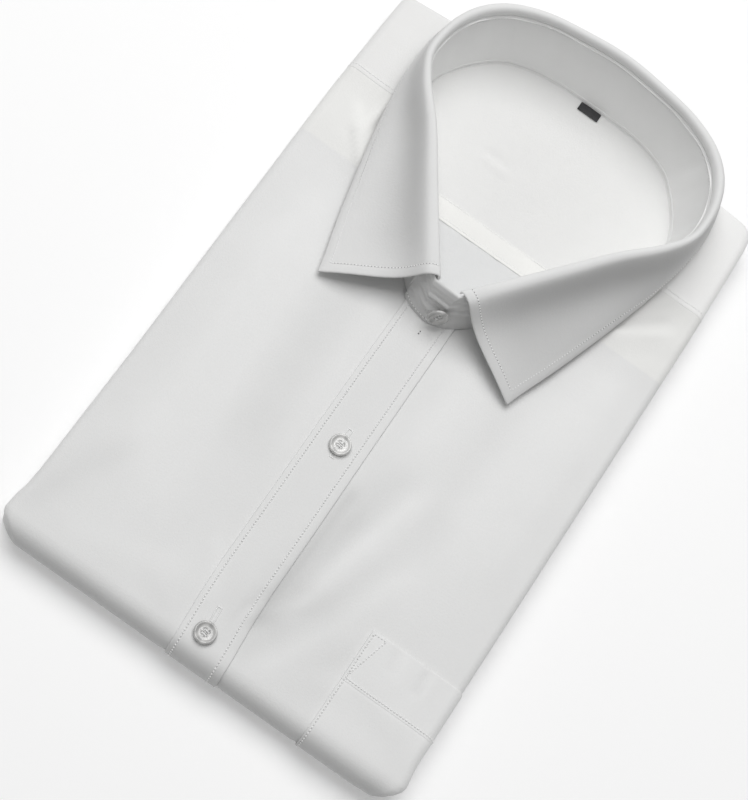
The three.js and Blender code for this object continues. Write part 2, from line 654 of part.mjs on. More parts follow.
function buttonGeometry() {
  const { radius, thick, rim, hole, holeOffset, sides } = BUTTON;
  const profile = [
    [0, 0], [radius - 1.2, 0], [radius - 0.3, rim], [radius, 0.6 * thick], [radius - 0.4, thick],
    [radius - 1.5, thick], [radius - 2.1, thick - rim], [0, thick - rim],
  ].map(([out, height]) => new THREE.Vector2(out, height));
  const disc = new THREE.LatheGeometry(profile, sides).rotateX(Math.PI / 2);
  const drills = [0, 1, 2, 3].map((k) => {
    const turn = Math.PI / 4 + k * Math.PI / 2;
    const drill = new THREE.CylinderGeometry(hole, hole, 3 * thick, 8).rotateX(Math.PI / 2);
    return drill.translate(holeOffset * Math.cos(turn), holeOffset * Math.sin(turn), 0);
  });
  return cut(facingOut(bareCopy(disc)), ...drills);
}

// ---- Materials ----
const COTTON = { color: 0xf2f2f2, roughness: 0.85, metalness: 0 };
const finish = {
  cotton: new THREE.MeshStandardMaterial(COTTON),
  lining: new THREE.MeshStandardMaterial({ ...COTTON, color: 0xe9e9ea }),
  hidden: new THREE.MeshStandardMaterial({ ...COTTON, color: 0xdfe0e2 }),
  label: new THREE.MeshStandardMaterial({ color: 0x17171a, roughness: 0.6, metalness: 0 }),
  pearl: new THREE.MeshStandardMaterial({ color: 0xe4e4e2, roughness: 0.25, metalness: 0 }),
};

// ---- The shirt ----
const shirt = new THREE.Group();

function place(name, geometry, material) {
  const mesh = new THREE.Mesh(geometry, material);
  mesh.name = name;
  shirt.add(mesh);
  return mesh;
}

const frontRightEnd = PLACKET.x + PLACKET.underlap;
place('front_left', frontGeometry(columnsFrom(frontRightEnd + SEAM_GAP, EDGE_END)), finish.cotton);
place('front_right', frontGeometry(columnsFrom(-EDGE_END, frontRightEnd)), finish.cotton);
place('placket', placketGeometry(), finish.cotton);
place('pocket_band', pocketGeometry(POCKET.top, POCKET.bandBottom + SEAM_GAP / 2), finish.cotton);
place('pocket', pocketGeometry(POCKET.bandBottom - SEAM_GAP / 2, POCKET.bottom), finish.cotton);
place('yoke', yokeGeometry(), finish.cotton);

const seamHalf = SEAM_GAP / 2;
const floorFoot = FLOOR_LIFT - CLOTH;
const seamTop = BACK_SEAM_Y + seamHalf;
place('yoke_lining', floorPanel(NECK_FLOOR.high, seamTop, FLOOR_LIFT, floorFoot, 0), finish.lining);
place('back', floorPanel(BACK_SEAM_Y - seamHalf, NECK_FLOOR.low, FLOOR_LIFT, floorFoot, 0), finish.lining);
place('folded_layers', layersGeometry(), finish.hidden);
place('collar_stand', standGeometry(), finish.cotton);
place('collar_fall', fallGeometry(), finish.cotton);

const labelColumns = [LABEL.x - LABEL.width / 2, LABEL.x + LABEL.width / 2];
const labelFoot = FLOOR_LIFT + SEAM_GAP;
const labelRows = [LABEL.top, LABEL.top - LABEL.height];
place('label', panel(labelColumns, labelRows, labelFoot + LABEL.wall, labelFoot), finish.label);

const BUTTON_SEAT = ON_TOP + SEAM_GAP;
for (const { name, x, y } of BUTTONS) {
  const button = place(name, buttonGeometry(), finish.pearl);
  button.position.copy(clothPoint(x - drift(x, y), y, BUTTON_SEAT));
}

const collarButton = place('button_collar', buttonGeometry(), finish.pearl);
let buttonPlace = 1;
while (standPoint(buttonPlace, COLLAR_BUTTON.rise, 0).x < COLLAR_BUTTON.x) buttonPlace -= NUDGE / 4;
const seat = standPoint(buttonPlace, COLLAR_BUTTON.rise, 0);
const upStand = standPoint(buttonPlace, 1, 0).sub(seat);
const alongStand = standPoint(buttonPlace - 4 * NUDGE, COLLAR_BUTTON.rise, 0).sub(seat);
const facing = upStand.cross(alongStand).normalize();
if (facing.y > 0) facing.negate();
collarButton.quaternion.setFromUnitVectors(new THREE.Vector3(0, 0, 1), facing);
collarButton.position.copy(seat).addScaledVector(facing, SEAM_GAP + COLLAR_BUTTON.stem);

// The origin is the centre of the footprint, on the table.
const box = new THREE.Box3().setFromObject(shirt);
shirt.position.set(-(box.min.x + box.max.x) / 2, -(box.min.y + box.max.y) / 2, -box.min.z);

export default shirt;
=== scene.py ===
import math

import bpy
import numpy as np
from mathutils import Matrix, Vector, kdtree


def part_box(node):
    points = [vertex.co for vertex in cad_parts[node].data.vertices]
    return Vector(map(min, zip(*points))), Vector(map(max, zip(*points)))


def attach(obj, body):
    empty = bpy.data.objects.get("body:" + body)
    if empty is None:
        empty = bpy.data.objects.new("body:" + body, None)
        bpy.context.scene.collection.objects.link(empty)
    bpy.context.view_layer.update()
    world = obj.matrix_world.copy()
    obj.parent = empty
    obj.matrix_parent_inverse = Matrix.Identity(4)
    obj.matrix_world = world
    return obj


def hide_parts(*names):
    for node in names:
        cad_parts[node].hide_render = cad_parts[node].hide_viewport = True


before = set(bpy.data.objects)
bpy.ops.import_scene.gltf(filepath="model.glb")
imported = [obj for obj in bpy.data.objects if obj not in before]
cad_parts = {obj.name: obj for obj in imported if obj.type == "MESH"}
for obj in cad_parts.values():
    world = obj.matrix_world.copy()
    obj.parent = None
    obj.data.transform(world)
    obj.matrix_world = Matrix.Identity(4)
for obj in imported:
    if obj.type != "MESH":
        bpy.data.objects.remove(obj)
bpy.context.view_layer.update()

# A folded dress shirt. Its cloth is laid out in millimetres, in the shirt's own coordinates:
# x across the chest, y from the bottom fold to the collar, z from the table.

# ---- Sizes shared with the CAD model ----
WIDTH, STACK, CLOTH, SEAM_GAP = 233.0, 22.0, 1.0, 0.3
EDGE_RADIUS, EDGE_WRAP = 4.75, math.radians(160)
CORNER_ROUND = {"left": 1.5, "right": 4.5}
TAIL_END = 350.0
PLACKET = {"x": -4.5, "width": 30.0, "underlap": 12.0, "top": 235.0}
YOKE_SEAM = {"y": 316.0, "slant": 1.7}
BACK_SEAM_Y = 272.5
NECK_FLOOR = {"half": 84.0, "low": 208.0, "high": 384.0, "past": 0.5}
POCKET = {"left": 62.0, "top": 65.0, "bandBottom": 36.0, "bottom": -66.0}
LABEL = {"x": 2.7, "top": 382.4, "width": 13.2, "height": 5.6}
BUTTON_2, BUTTON_3 = (-3.6, 133.5), (-4.6, 15.2)
BUTTON = {"radius": 5.9, "thick": 2.4, "rim": 0.7, "holeOffset": 1.45}
STAND_WALL, FALL_WALL = 1.6, 1.3
TAB_REACH, TAB_ROUND, TAB_DROP = 14.0, 11.0, 0.63
RIGHT_SWELL, LEFT_SWELL = 1.015, 0.985
SHOULDER_LEFT = [(0, 387.5), (30, 386.5), (58, 382.5), (82, 378.5), (117, 375)]
SHOULDER_RIGHT = [(0, 387.5), (30, 387), (58, 384.5), (82, 381.5), (117, 378.5)]

# How far the left and the right side stand out, by height above the bottom fold.
SIDE_SWELL = [
    (0, -8, -7), (3.2, -3, -2), (6.8, 1.2, 0.1), (11, 2.3, 0.9), (20, 1.7, -0.2), (26, 0.5, -0.5),
    (36, 0, -0.4), (110, 0, 0.2), (300, 2.4, 1.2), (352, 1.5, 0.5), (390, 0.5, 0),
]

# The middle of the front drifts to the right near the bottom fold: height above the fold, shift.
FRONT_DRIFT = [(0, 3.9), (15, 2.9), (30, 1.7), (50, 0.9), (90, 0.7), (130, 0.3), (180, 0)]

# Broad relief, as in the CAD: x0, y0, x1, y1, width, rise.
RELIEF = [
    (31, 126, 15, 42, 13, -1.3),
    (62, 200, 58, 90, 26, 0.9),
    (-64, 190, -60, 70, 26, 0.7),
    (78, 300, 112, 318, 11, -0.9),
    (-82, 305, -110, 322, 11, -0.8),
]

# Creases: from a point to a point, half-width, rise in the middle.
CREASES = [
    (-84, 314, -86, 296, 2.4, -2.2), (-89, 312, -91, 288, 3.0, 1.6), (-99, 296, -86, 276, 3.6, 1.3),
    (-94, 283, -84, 270, 2.4, -1.8),
    (80, 282, 99, 299, 2.6, -0.9), (84, 278, 105, 294, 3.2, 0.8), (76, 290, 93, 309, 3.8, 0.6),
    (88, 268, 112, 286, 5.5, -0.6),
    (16, 112, 13.5, 38, 3.6, -1.5), (24, 100, 17, 40, 6.0, -1.1), (44, 126, 27, 74, 7.5, 1.2),
    (38, 92, 24, 46, 7.0, 0.9), (60, 118, 42, 66, 9.0, -0.8), (58, 84, 40, 40, 8.0, 0.7),
    (30, 52, 17, 20, 6.5, -0.7), (50, 48, 30, 20, 7.0, 0.5),
    (-52, 240, -46, 118, 15, -1.1), (-84, 226, -78, 90, 17, 0.8), (-28, 205, -25, 120, 8, 0.6),
    (96, 236, 86, 142, 14, 1.0), (62, 232, 56, 138, 10, -0.9), (36, 226, 30, 150, 11, 0.7),
    (96.0, 60, 96.8, 52, 1.7, -0.95), (99.8, 60, 100.6, 53, 2.2, 0.5), (77.2, 60, 79, 54, 1.6, -0.5),
    (84, 60, 86, 50, 2.4, 0.35), (72, 20, 104, 24, 6, -0.3),
    (-12, 34, -24, 54, 3.6, 0.5), (6, 34, 24, 54, 3.6, 0.5), (2, 30, 6, 44, 2.6, -0.3),
    (-14, 8, -34, 16, 5.0, -0.6), (-92, 60, -110, 26, 8.0, -0.7), (-40, 30, -78, 22, 8.0, 0.6),
    (78, 30, 112, 14, 7.0, -0.5), (36, 20, 58, 30, 7.0, 0.5),
    (-100, 270, -70, 262, 9, -0.5), (100, 262, 74, 256, 9, -0.5),
]

# Half of the collar, from the centre back to the centre front.
COLLAR_KEYS = ("baseX", "baseY", "topX", "topY", "topZ", "edgeX", "edgeY", "edgeZ")
COLLAR = [dict(zip(COLLAR_KEYS, row)) for row in (
    (0, 384.6, 0, 392, 38, 0, 406, -3),
    (26, 384, 26, 389.5, 38, 33, 403.5, -2.5),
    (40, 381.3, 46, 385.5, 38, 60, 397, -1.5),
    (54.5, 375.4, 63, 378, 37.5, 78, 387, 0.5),
    (65, 365.4, 74, 368, 37, 88, 372, 2.2),
    (74, 352.5, 81, 355, 37, 92, 353, 2.6),
    (79.5, 338, 84, 341, 36, 91.5, 335, 2.8),
    (78.5, 322, 83, 328, 35.5, 89, 317, 2.8),
    (71, 303, 75.5, 315, 34.5, 85.5, 297, 2.8),
    (55, 278, 58, 295, 33, 80.5, 274, 2.8),
    (38, 251, 41, 272, 31.5, 74.5, 250, 2.8),
    (22, 230, 26, 252, 30, 68.5, 228, 2.8),
    (10, 221, 14, 236.5, 29, 64, 213, 2.8),
    (0, 218.5, 7, 228, 28, 61.5, 203, 2.8),
)]
COLLAR_AXIS = {"frontX": -5.2, "frontY": 221.0, "backX": 1.7, "backY": 383.0}

MID = STACK / 2
FOLD_X = WIDTH / 2 - EDGE_RADIUS
FOLD_HEIGHT = MID - EDGE_RADIUS
EDGE_END = FOLD_X + EDGE_RADIUS * EDGE_WRAP
NOSE_END = MID * (1 - math.pi)
PLACKET_LEFT = PLACKET["x"] - PLACKET["width"] / 2
PLACKET_RIGHT = PLACKET["x"] + PLACKET["width"] / 2
ON_TOP = CLOTH + SEAM_GAP
FLOOR_LIFT = -CLOTH - SEAM_GAP
SINK = {"far": 3.5, "near": 0.6, "start": 1.0, "end": 2.6}
UNDER_END = NOSE_END + MID - TAIL_END
# Visible walls, thinner than the CAD's.
THIN, PLACKET_WALL, POCKET_WALL, BAND_WALL, FLOOR_WALL, LABEL_WALL = 0.6, 0.95, 0.8, 0.9, 0.8, 0.4
STAND_HEIGHT, YOKE_DEPTH = 38, 78
YOKE_AREA = 0.0102                    # square metres, without the neck opening

# The CAD is centred on its footprint, so the shirt's coordinates are moved by the same amount.
_low, _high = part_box("button_2")
SHIFT = np.array([(_low.x + _high.x) / 2 * 1000 + 3.6, (_low.y + _high.y) / 2 * 1000 - 133.5, 0.0])


# ---- The folded cloth's surface ----
def smooth(x, low, high):
    t = np.clip((np.asarray(x, float) - low) / (high - low), 0, 1)
    return t * t * (3 - 2 * t)


def softened(left, right, step, width):
    """The two sides of a fold line as one evenly spaced table, rounded at its corners."""
    xs = np.arange(-160, 161, step)
    ys = np.where(xs < 0, np.interp(-xs, *zip(*left)), np.interp(xs, *zip(*right)))
    reach = int(3 * width / step)
    kernel = np.exp(-0.5 * (np.arange(-reach, reach + 1) * step / width) ** 2)
    return xs, np.convolve(np.pad(ys, reach, mode="edge"), kernel / kernel.sum(), mode="valid")


FOLD_TABLE = softened(SHOULDER_LEFT, SHOULDER_RIGHT, 1.0, 5.0)


def shoulder_fold(x):
    return np.interp(x, *FOLD_TABLE)


def drift(column, y):
    """How far the front's middle has moved at a column and a distance from the bottom fold."""
    share = 1 - smooth(np.abs(column - PLACKET["x"]), 18, 62)
    return share * np.interp(y, *zip(*FRONT_DRIFT))


def swell(column, row, arm=MID):
    """Sideways shift of the cloth; arm is its distance from the bottom fold's axis."""
    turn = np.clip((MID - row) / MID, 0, math.pi)
    y = np.where(row >= MID, row, np.where(row <= NOSE_END, MID + NOSE_END - row, MID - arm * np.sin(turn)))
    heights, left, right = zip(*SIDE_SWELL)
    y = np.maximum(y, 0)
    out = np.where(column < 0, np.interp(y, heights, left), np.interp(y, heights, right))
    return np.sign(column) * out * smooth(np.abs(column), 84, FOLD_X) + drift(column, y)


def along_crease(x, y, rows):
    rise = np.zeros(np.broadcast(x, y).shape)
    for x0, y0, x1, y1, width, height in rows:
        length = math.hypot(x1 - x0, y1 - y0)
        dx, dy = (x1 - x0) / length, (y1 - y0) / length
        along = (x - x0) * dx + (y - y0) * dy
        across = (x - x0) * dy - (y - y0) * dx
        beyond = np.maximum(0, np.maximum(-along, along - length))
        rise += height * np.exp(-(across ** 2 + (0.55 * beyond) ** 2) / width ** 2)
    return rise


def waves(x, y, seed, count, shortest, longest):
    """A gentle, unrepeating unevenness, about 1 high."""
    rng = np.random.default_rng(seed)
    total = np.zeros(np.broadcast(x, y).shape)
    for _ in range(count):
        period = math.exp(rng.uniform(math.log(shortest), math.log(longest)))
        turn = rng.uniform(0, 2 * math.pi)
        phase = rng.uniform(0, 2 * math.pi)
        pace = 2 * math.pi / period
        total += np.sin(pace * (x * math.cos(turn) + y * math.sin(turn)) + phase) * (period / longest) ** 0.7
    return total / math.sqrt(count)


STITCH_LINES = (PLACKET_LEFT + 2.9, PLACKET_RIGHT - 4.8)


def puckers(x, y):
    """Small ripples that run out from the sewn lines of the placket and the pocket."""
    rise = np.zeros(np.broadcast(x, y).shape)
    for k, line in enumerate(STITCH_LINES):
        ripple = np.sin(2 * math.pi * y / 7.3 + k * 2 + 2 * np.sin(y / 19.0 + k)) + 0.6 * np.sin(y / 2.1 + k)
        rise += 0.07 * ripple * np.exp(-np.abs(x - line) / 3.2)
    pocket = np.sin(2 * math.pi * y / 8.1) + 0.5 * np.sin(y / 1.9)
    rise += 0.06 * pocket * np.exp(-np.abs(x - POCKET["left"] - 2) / 3.0) * (y < 68)
    return rise


def relief(x, y):
    return (along_crease(x, y, RELIEF) + along_crease(x, y, CREASES) + puckers(x, y)
            + 0.16 * waves(x, y, 7, 14, 30, 130))


def sink(column, row):
    turned = smooth(MID - row, SINK["start"] * MID, SINK["end"] * MID)
    placket = (smooth(column, PLACKET_LEFT - SINK["far"], PLACKET_LEFT - SINK["near"])
               - smooth(column, PLACKET_RIGHT + SINK["near"], PLACKET_RIGHT + SINK["far"]))
    pocket = (smooth(column, POCKET["left"] - SINK["far"], POCKET["left"] - SINK["near"])
              * smooth(row, POCKET["bottom"] - SINK["far"], POCKET["bottom"] - SINK["near"]))
    return ON_TOP * turned * np.maximum(placket, pocket)


def bundle_point(x, y, height, row, rise):
    """On the upper half, round the bottom fold, or on the underside, as the row says."""
    turn = np.clip((MID - row) / MID, 0, math.pi)
    nose_y = MID - height * np.sin(turn)
    nose_z = MID + height * np.cos(turn)
    upper, under = row >= MID, row <= NOSE_END
    py = np.where(upper, y, np.where(under, MID + NOSE_END - row, nose_y))
    pz = np.where(upper, MID + height + rise, np.where(under, MID - height, nose_z))
    return np.stack(np.broadcast_arrays(x, py, pz), axis=-1)


def cloth_point(column, row, lift):
    column, row, lift = np.broadcast_arrays(np.asarray(column, float), np.asarray(row, float),
                                            np.asarray(lift, float))
    corner = np.where(column > 0, CORNER_ROUND["right"], CORNER_ROUND["left"])
    centre_x = FOLD_X - corner
    centre_y = shoulder_fold(column) - EDGE_RADIUS - corner
    offset = lift - sink(column, row)
    past_x = np.maximum(0, np.abs(column) - centre_x)
    past_y = np.maximum(0, row - centre_y)
    reach = np.maximum(past_x, past_y)
    angle = np.maximum(0, reach - corner) / EDGE_RADIUS
    arm = np.minimum(reach, corner) + np.where(angle > 0, (EDGE_RADIUS + offset) * np.sin(angle), 0)
    spread = np.maximum(np.hypot(past_x, past_y), 1e-9)
    x = np.where(past_x > 0, np.sign(column) * (centre_x + arm * past_x / spread), column)
    y = np.where(past_y > 0, centre_y + arm * past_y / spread, row)
    height = FOLD_HEIGHT + (EDGE_RADIUS + offset) * np.cos(angle)
    fade = smooth(row, MID - 4, MID + 22) * smooth(corner - reach, 0, 3) * smooth(FOLD_X - np.abs(x), 0, 14)
    arm = MID + (height - MID) * smooth(angle, math.pi / 2, EDGE_WRAP)
    return bundle_point(x + swell(column, row, arm), y, height, row, relief(x, y) * fade)


def slanted(column, row):
    return row - YOKE_SEAM["slant"] * (column / (WIDTH / 2)) * smooth(row, 200, YOKE_SEAM["y"])


# ---- Meshes ----
def placed(name, data):
    obj = bpy.data.objects.new(name, data)
    bpy.context.scene.collection.objects.link(obj)
    return obj


def plain_object(name, points, faces):
    """An object from points in millimetres about its own origin."""
    mesh = bpy.data.meshes.new(name)
    mesh.from_pydata((np.asarray(points) * 0.001).tolist(), [], [list(map(int, f)) for f in faces])
    mesh.polygons.foreach_set("use_smooth", [True] * len(mesh.polygons))
    return placed(name, mesh)


def mesh_object(name, points, faces, uv=None, materials=(), face_material=None):
    """An object from points in the shirt's millimetres."""
    obj = plain_object(name, np.asarray(points) + SHIFT, faces)
    mesh = obj.data
    if uv is not None:
        layer = mesh.uv_layers.new(name="cut")
        loops = np.empty(len(mesh.loops), dtype=np.int32)
        mesh.loops.foreach_get("vertex_index", loops)
        layer.data.foreach_set("uv", (np.asarray(uv)[loops] * 0.001).ravel())
    for material in materials:
        mesh.materials.append(material)
    if face_material is not None:
        mesh.polygons.foreach_set("material_index", np.asarray(face_material, dtype=np.int32))
    return obj


def shirt_points(mesh):
    """The mesh's points in the shirt's millimetres."""
    points = np.empty(len(mesh.vertices) * 3)
    mesh.vertices.foreach_get("co", points)
    return points.reshape(-1, 3) * 1000 - SHIFT


RIM_STEPS = 4


def shell(outer, inner, uv):
    """A closed wall between two grids of points, with rounded edges."""
    columns, rows = outer.shape[:2]
    middle, reach = (outer + inner) / 2, outer - inner
    half = np.linalg.norm(reach, axis=-1, keepdims=True) / 2
    normal = reach / (2 * half)
    ring = ([(i, 0) for i in range(columns)] + [(columns - 1, j) for j in range(1, rows)]
            + [(i, rows - 1) for i in range(columns - 2, -1, -1)] + [(0, j) for j in range(rows - 2, 0, -1)])
    pick = tuple(np.array(ring).T)
    out = np.zeros((len(ring), 3))
    for axis, size in enumerate((columns, rows)):
        for end, beside in ((0, 1), (size - 1, size - 2)):
            near = list(pick)
            near[axis] = np.full(len(ring), beside)
            out += unit(middle[pick] - middle[tuple(near)]) * (pick[axis] == end)[:, None]
    out /= np.maximum(np.linalg.norm(out, axis=1, keepdims=True), 1)
    loops = [middle[pick] + half[pick] * (out * math.sin(turn) + normal[pick] * math.cos(turn))
             for turn in math.pi * np.arange(1, RIM_STEPS) / RIM_STEPS]
    count = columns * rows
    points = np.concatenate([outer.reshape(-1, 3), inner.reshape(-1, 3), *loops])
    flat = uv.reshape(-1, 2)
    uvs = np.concatenate([flat, flat, *[uv[pick]] * len(loops)])
    number = np.arange(count).reshape(columns, rows)
    a, b, c, d = (n.ravel() for n in (number[:-1, :-1], number[1:, :-1], number[1:, 1:], number[:-1, 1:]))
    faces = [np.stack([a, b, c, d], 1), np.stack([a, d, c, b], 1) + count]
    levels = [number[pick], *(2 * count + np.arange(len(ring)) + k * len(ring) for k in range(len(loops))),
              number[pick] + count]
    for upper, lower in zip(levels, levels[1:]):
        faces.append(np.stack([upper, lower, np.roll(lower, -1), np.roll(upper, -1)], 1))
    faces = np.concatenate(faces)
    p = points[faces]
    volume = sum(np.einsum("ij,ij->i", p[:, 0], np.cross(p[:, k], p[:, k + 1])).sum() for k in (1, 2))
    return points, faces if volume > 0 else faces[:, ::-1], uvs


def joined(parts):
    """Several (points, faces, uv) as one."""
    points, faces, uvs, start = [], [], [], 0
    for p, f, u in parts:
        points.append(p)
        uvs.append(u)
        faces.extend([tuple(int(n) + start for n in face) for face in f])
        start += len(p)
    return np.concatenate(points), faces, np.concatenate(uvs)


def circle(sides, side=np.array([1.0, 0, 0]), other=np.array([0, 1.0, 0])):
    """Points of a unit circle in the plane of two directions."""
    turns = np.arange(sides) * 2 * math.pi / sides
    return side * np.cos(turns)[:, None] + other * np.sin(turns)[:, None]


def skin(rings):
    """A closed tube through equal rings of points, capped at both ends."""
    n, count = len(rings[0]), len(rings)
    faces = [(k * n + i, k * n + (i + 1) % n, (k + 1) * n + (i + 1) % n, (k + 1) * n + i)
             for k in range(count - 1) for i in range(n)]
    faces += [tuple(range(n - 1, -1, -1)), tuple(range((count - 1) * n, count * n))]
    return np.concatenate(rings), faces, np.zeros((n * count, 2))


def arc_lengths(points, axis=0):
    """Distance travelled along a line or a grid of points."""
    total = np.cumsum(np.linalg.norm(np.diff(points, axis=axis), axis=-1), axis=axis)
    return np.pad(total, [(1, 0) if k == axis else (0, 0) for k in range(total.ndim)])


def stations(low, high, step, marks=(), fine=0.8, reach=2.0):
    """Evenly spread stations, closer together beside each mark."""
    values = list(np.linspace(low, high, max(2, int(round((high - low) / step)) + 1)))
    for mark in marks:
        values += [v for v in np.arange(mark - reach, mark + reach + 0.01, fine) if low < v < high]
    values = sorted(values)
    kept = [values[0]]
    for value in values[1:]:
        if value - kept[-1] > 0.3:
            kept.append(value)
    kept[-1] = values[-1]
    return np.array(kept)


def groove(distance, depth=0.1, width=0.9):
    """How deep the thread pulls the cloth in at this distance from a sewn line."""
    return -depth * np.exp(-(distance / width) ** 2)


def inset(values, amount):
    """The same stations, the first and the last moved in."""
    values = values.copy()
    values[0] += amount
    values[-1] -= amount
    return values


def cloth_grid(columns, rows, outer, thick, lift_of):
    """A flat-cut panel laid on the folded surface, its outer face at this lift."""
    c, r = np.meshgrid(inset(columns, thick / 2), inset(rows, thick / 2), indexing="ij")
    shown, lift = slanted(c, r), outer + lift_of(c, r)
    return shell(cloth_point(c, shown, lift), cloth_point(c, shown, lift - thick), np.stack([c, r], -1))


# ---- Collar curves: centripetal Catmull-Rom through the same rows as the CAD's ----
def centripetal(points):
    points = np.asarray(points, float)
    first = 2 * points[0] - points[1]
    last = 2 * points[-1] - points[-2]
    padded = np.vstack([first, points, last])

    def at(u):
        u = np.atleast_1d(np.asarray(u, float))
        place = np.clip(u, 0, 1) * (len(points) - 1)
        k = np.minimum(place.astype(int), len(points) - 2)
        w = (place - k)[:, None]
        p0, p1, p2, p3 = p = [padded[k + n] for n in range(4)]
        d0, d1, d2 = (np.maximum(((b - a) ** 2).sum(1) ** 0.25, 1e-9)[:, None] for a, b in zip(p, p[1:]))
        t1, t2 = (((b - a) / d - (c - a) / (d + e) + (c - b) / e) * d1
                  for a, b, c, d, e in ((p0, p1, p2, d0, d1), (p1, p2, p3, d1, d2)))
        c2 = -3 * p1 + 3 * p2 - 2 * t1 - t2
        c3 = 2 * p1 - 2 * p2 + t1 + t2
        return p1 + t1 * w + c2 * w ** 2 + c3 * w ** 3

    return at


def collar_axis(y):
    share = (y - COLLAR_AXIS["frontY"]) / (COLLAR_AXIS["backY"] - COLLAR_AXIS["frontY"])
    return COLLAR_AXIS["frontX"] + share * (COLLAR_AXIS["backX"] - COLLAR_AXIS["frontX"])


def collar_curve(part):
    def half(side, swell):
        return [(collar_axis(row[part + "Y"]) + side * swell * row[part + "X"], row[part + "Y"],
                 STACK + row.get(part + "Z", 0)) for row in COLLAR]
    return centripetal(half(-1, LEFT_SWELL)[::-1] + half(1, RIGHT_SWELL)[1:])


base_curve, top_curve, edge_curve = (collar_curve(part) for part in ("base", "top", "edge"))
NUDGE = 0.004


def unit(v):
    return v / np.maximum(np.linalg.norm(v, axis=-1, keepdims=True), 1e-12)


def outward(curve, at):
    ahead, behind = curve(np.minimum(1, at + NUDGE)), curve(np.maximum(0, at - NUDGE))
    n = np.stack([behind[:, 1] - ahead[:, 1], ahead[:, 0] - behind[:, 0], np.zeros(len(ahead))], 1)
    return unit(n)


def seat_height(x, y):
    on_placket = smooth(x, PLACKET_LEFT - 5, PLACKET_LEFT - 1.5) - smooth(x, PLACKET_RIGHT + 1.5, PLACKET_RIGHT + 5)
    at_front = 1 - smooth(y, 250, 262)
    return cloth_point(x, y, 0)[..., 2] + 0.1 + ON_TOP * on_placket * at_front


TAB_LAP = STAND_WALL + SEAM_GAP + 0.25


def stand_points(at, rise, depth):
    """Points of the stand: at along it (over 1 is the tab), rise up it, depth 0 outside to 1 inside."""
    at, rise = np.broadcast_arrays(np.atleast_1d(at), rise)
    lap = TAB_LAP * np.where(at > 1, 1, smooth(at, 0.9, 1))
    place = np.where(at > 1, at - 1, at)
    normal = outward(base_curve, place)
    shift = (lap - depth * STAND_WALL)[:, None] * normal
    base = base_curve(place) + shift
    top = top_curve(place) + shift
    base[:, 2] = seat_height(base[:, 0], base[:, 1])
    front = smooth(at, 0.9, 0.985)
    arch = np.sin(math.pi * np.clip(rise, 0, 1))
    lines = np.sin(24 * rise + 30 * at) + 0.6 * np.sin(39 * rise - 70 * at + 1)
    ripple = np.sin(at * 83 + 2.5 * rise) + 0.7 * np.sin(at * 139 + 4 - 3 * rise) + 0.5 * np.sin(at * 211 + 1)
    fine = np.sin(46 * rise + 21 * at + 1.3 * np.sin(9 * rise))
    fine *= smooth(rise, 0.4, 0.62) * (1 - smooth(rise, 0.86, 0.97))
    bow = (0.5 + 0.26 * ripple * smooth(at, 0.2, 0.35) * (1 - smooth(at, 0.7, 0.85))) * arch
    bow += (0.4 * (lines + 0.9) * arch + 0.34 * fine) * front
    return base + (top - base) * rise[:, None] + normal * bow[:, None]


ROLL = {"rise": 7.5, "out": 7.0, "seat": 0.7, "outMore": 2.0, "follow": 0.12, "overRise": 0.55, "lean": 0.25,
        "calm": 0.45, "calmFrom": 0.75}


def fall_middle(at, across):
    top, edge, base = top_curve(at), edge_curve(at), base_curve(at)
    normal = outward(top_curve, at)
    top = top + normal * (-STAND_WALL / 2)
    top[:, 2] += ROLL["seat"]
    front = np.abs(at - 0.5) * 2
    full = (1 - ROLL["calm"] * smooth(front, ROLL["calmFrom"], 1))[:, None]
    lean = (top - base) * [1, 1, 0] * ROLL["lean"]
    rising = top + lean + np.array([0, 0, 1.0]) * ROLL["rise"] * full
    over = top + normal * (ROLL["out"] * full + ROLL["outMore"])
    over = over + (edge - over) * ROLL["follow"]
    over[:, 2] = top[:, 2] + ROLL["rise"] * ROLL["overRise"] * full[:, 0]
    t = across[:, None]
    point = (1 - t) ** 3 * top + 3 * (1 - t) ** 2 * t * rising + 3 * (1 - t) * t ** 2 * over + t ** 3 * edge
    # the leaf hangs a little hollow between the roll and its free edge
    side = smooth(front, 0.3, 0.7)
    dip = np.sin(math.pi * np.clip((across - 0.35) / 0.65, 0, 1)) ** 2
    point[:, 2] -= (1.2 + 6.0 * side) * dip
    point[:, :2] -= normal[:, :2] * ((0.8 + 2.2 * side) * dip)[:, None]
    # soft unevenness along the leaf
    point[:, 2] += 0.5 * np.sin(at * 34 + 1.2) * np.sin(math.pi * np.clip(across, 0, 1)) * side
    return point


def grid_normals(points):
    du = np.gradient(points, axis=0)
    dv = np.gradient(points, axis=1)
    return unit(np.cross(dv, du))


# ---- Solids cut out of other meshes ----
def carved(obj, tool):
    """The object's mesh with the tool's solid cut away."""
    modifier = obj.modifiers.new("cut", "BOOLEAN")
    modifier.object, modifier.operation, modifier.solver = tool, "DIFFERENCE", "EXACT"
    depsgraph = bpy.context.evaluated_depsgraph_get()
    mesh = bpy.data.meshes.new_from_object(obj.evaluated_get(depsgraph), depsgraph=depsgraph)
    obj.modifiers.clear()
    return mesh


def neck_cutter():
    """A straight plug through the neck opening, from inside the stack to above the collar."""
    at = np.arange(120) / 120
    ring = base_curve(at) + outward(base_curve, at) * (-STAND_WALL - SEAM_GAP)
    bottom, top = ring.copy(), ring.copy()
    bottom[:, 2], top[:, 2] = MID + 4.2, STACK + 40
    return mesh_object("neck_cutter", *skin([top, bottom])[:2])


cutter = neck_cutter()


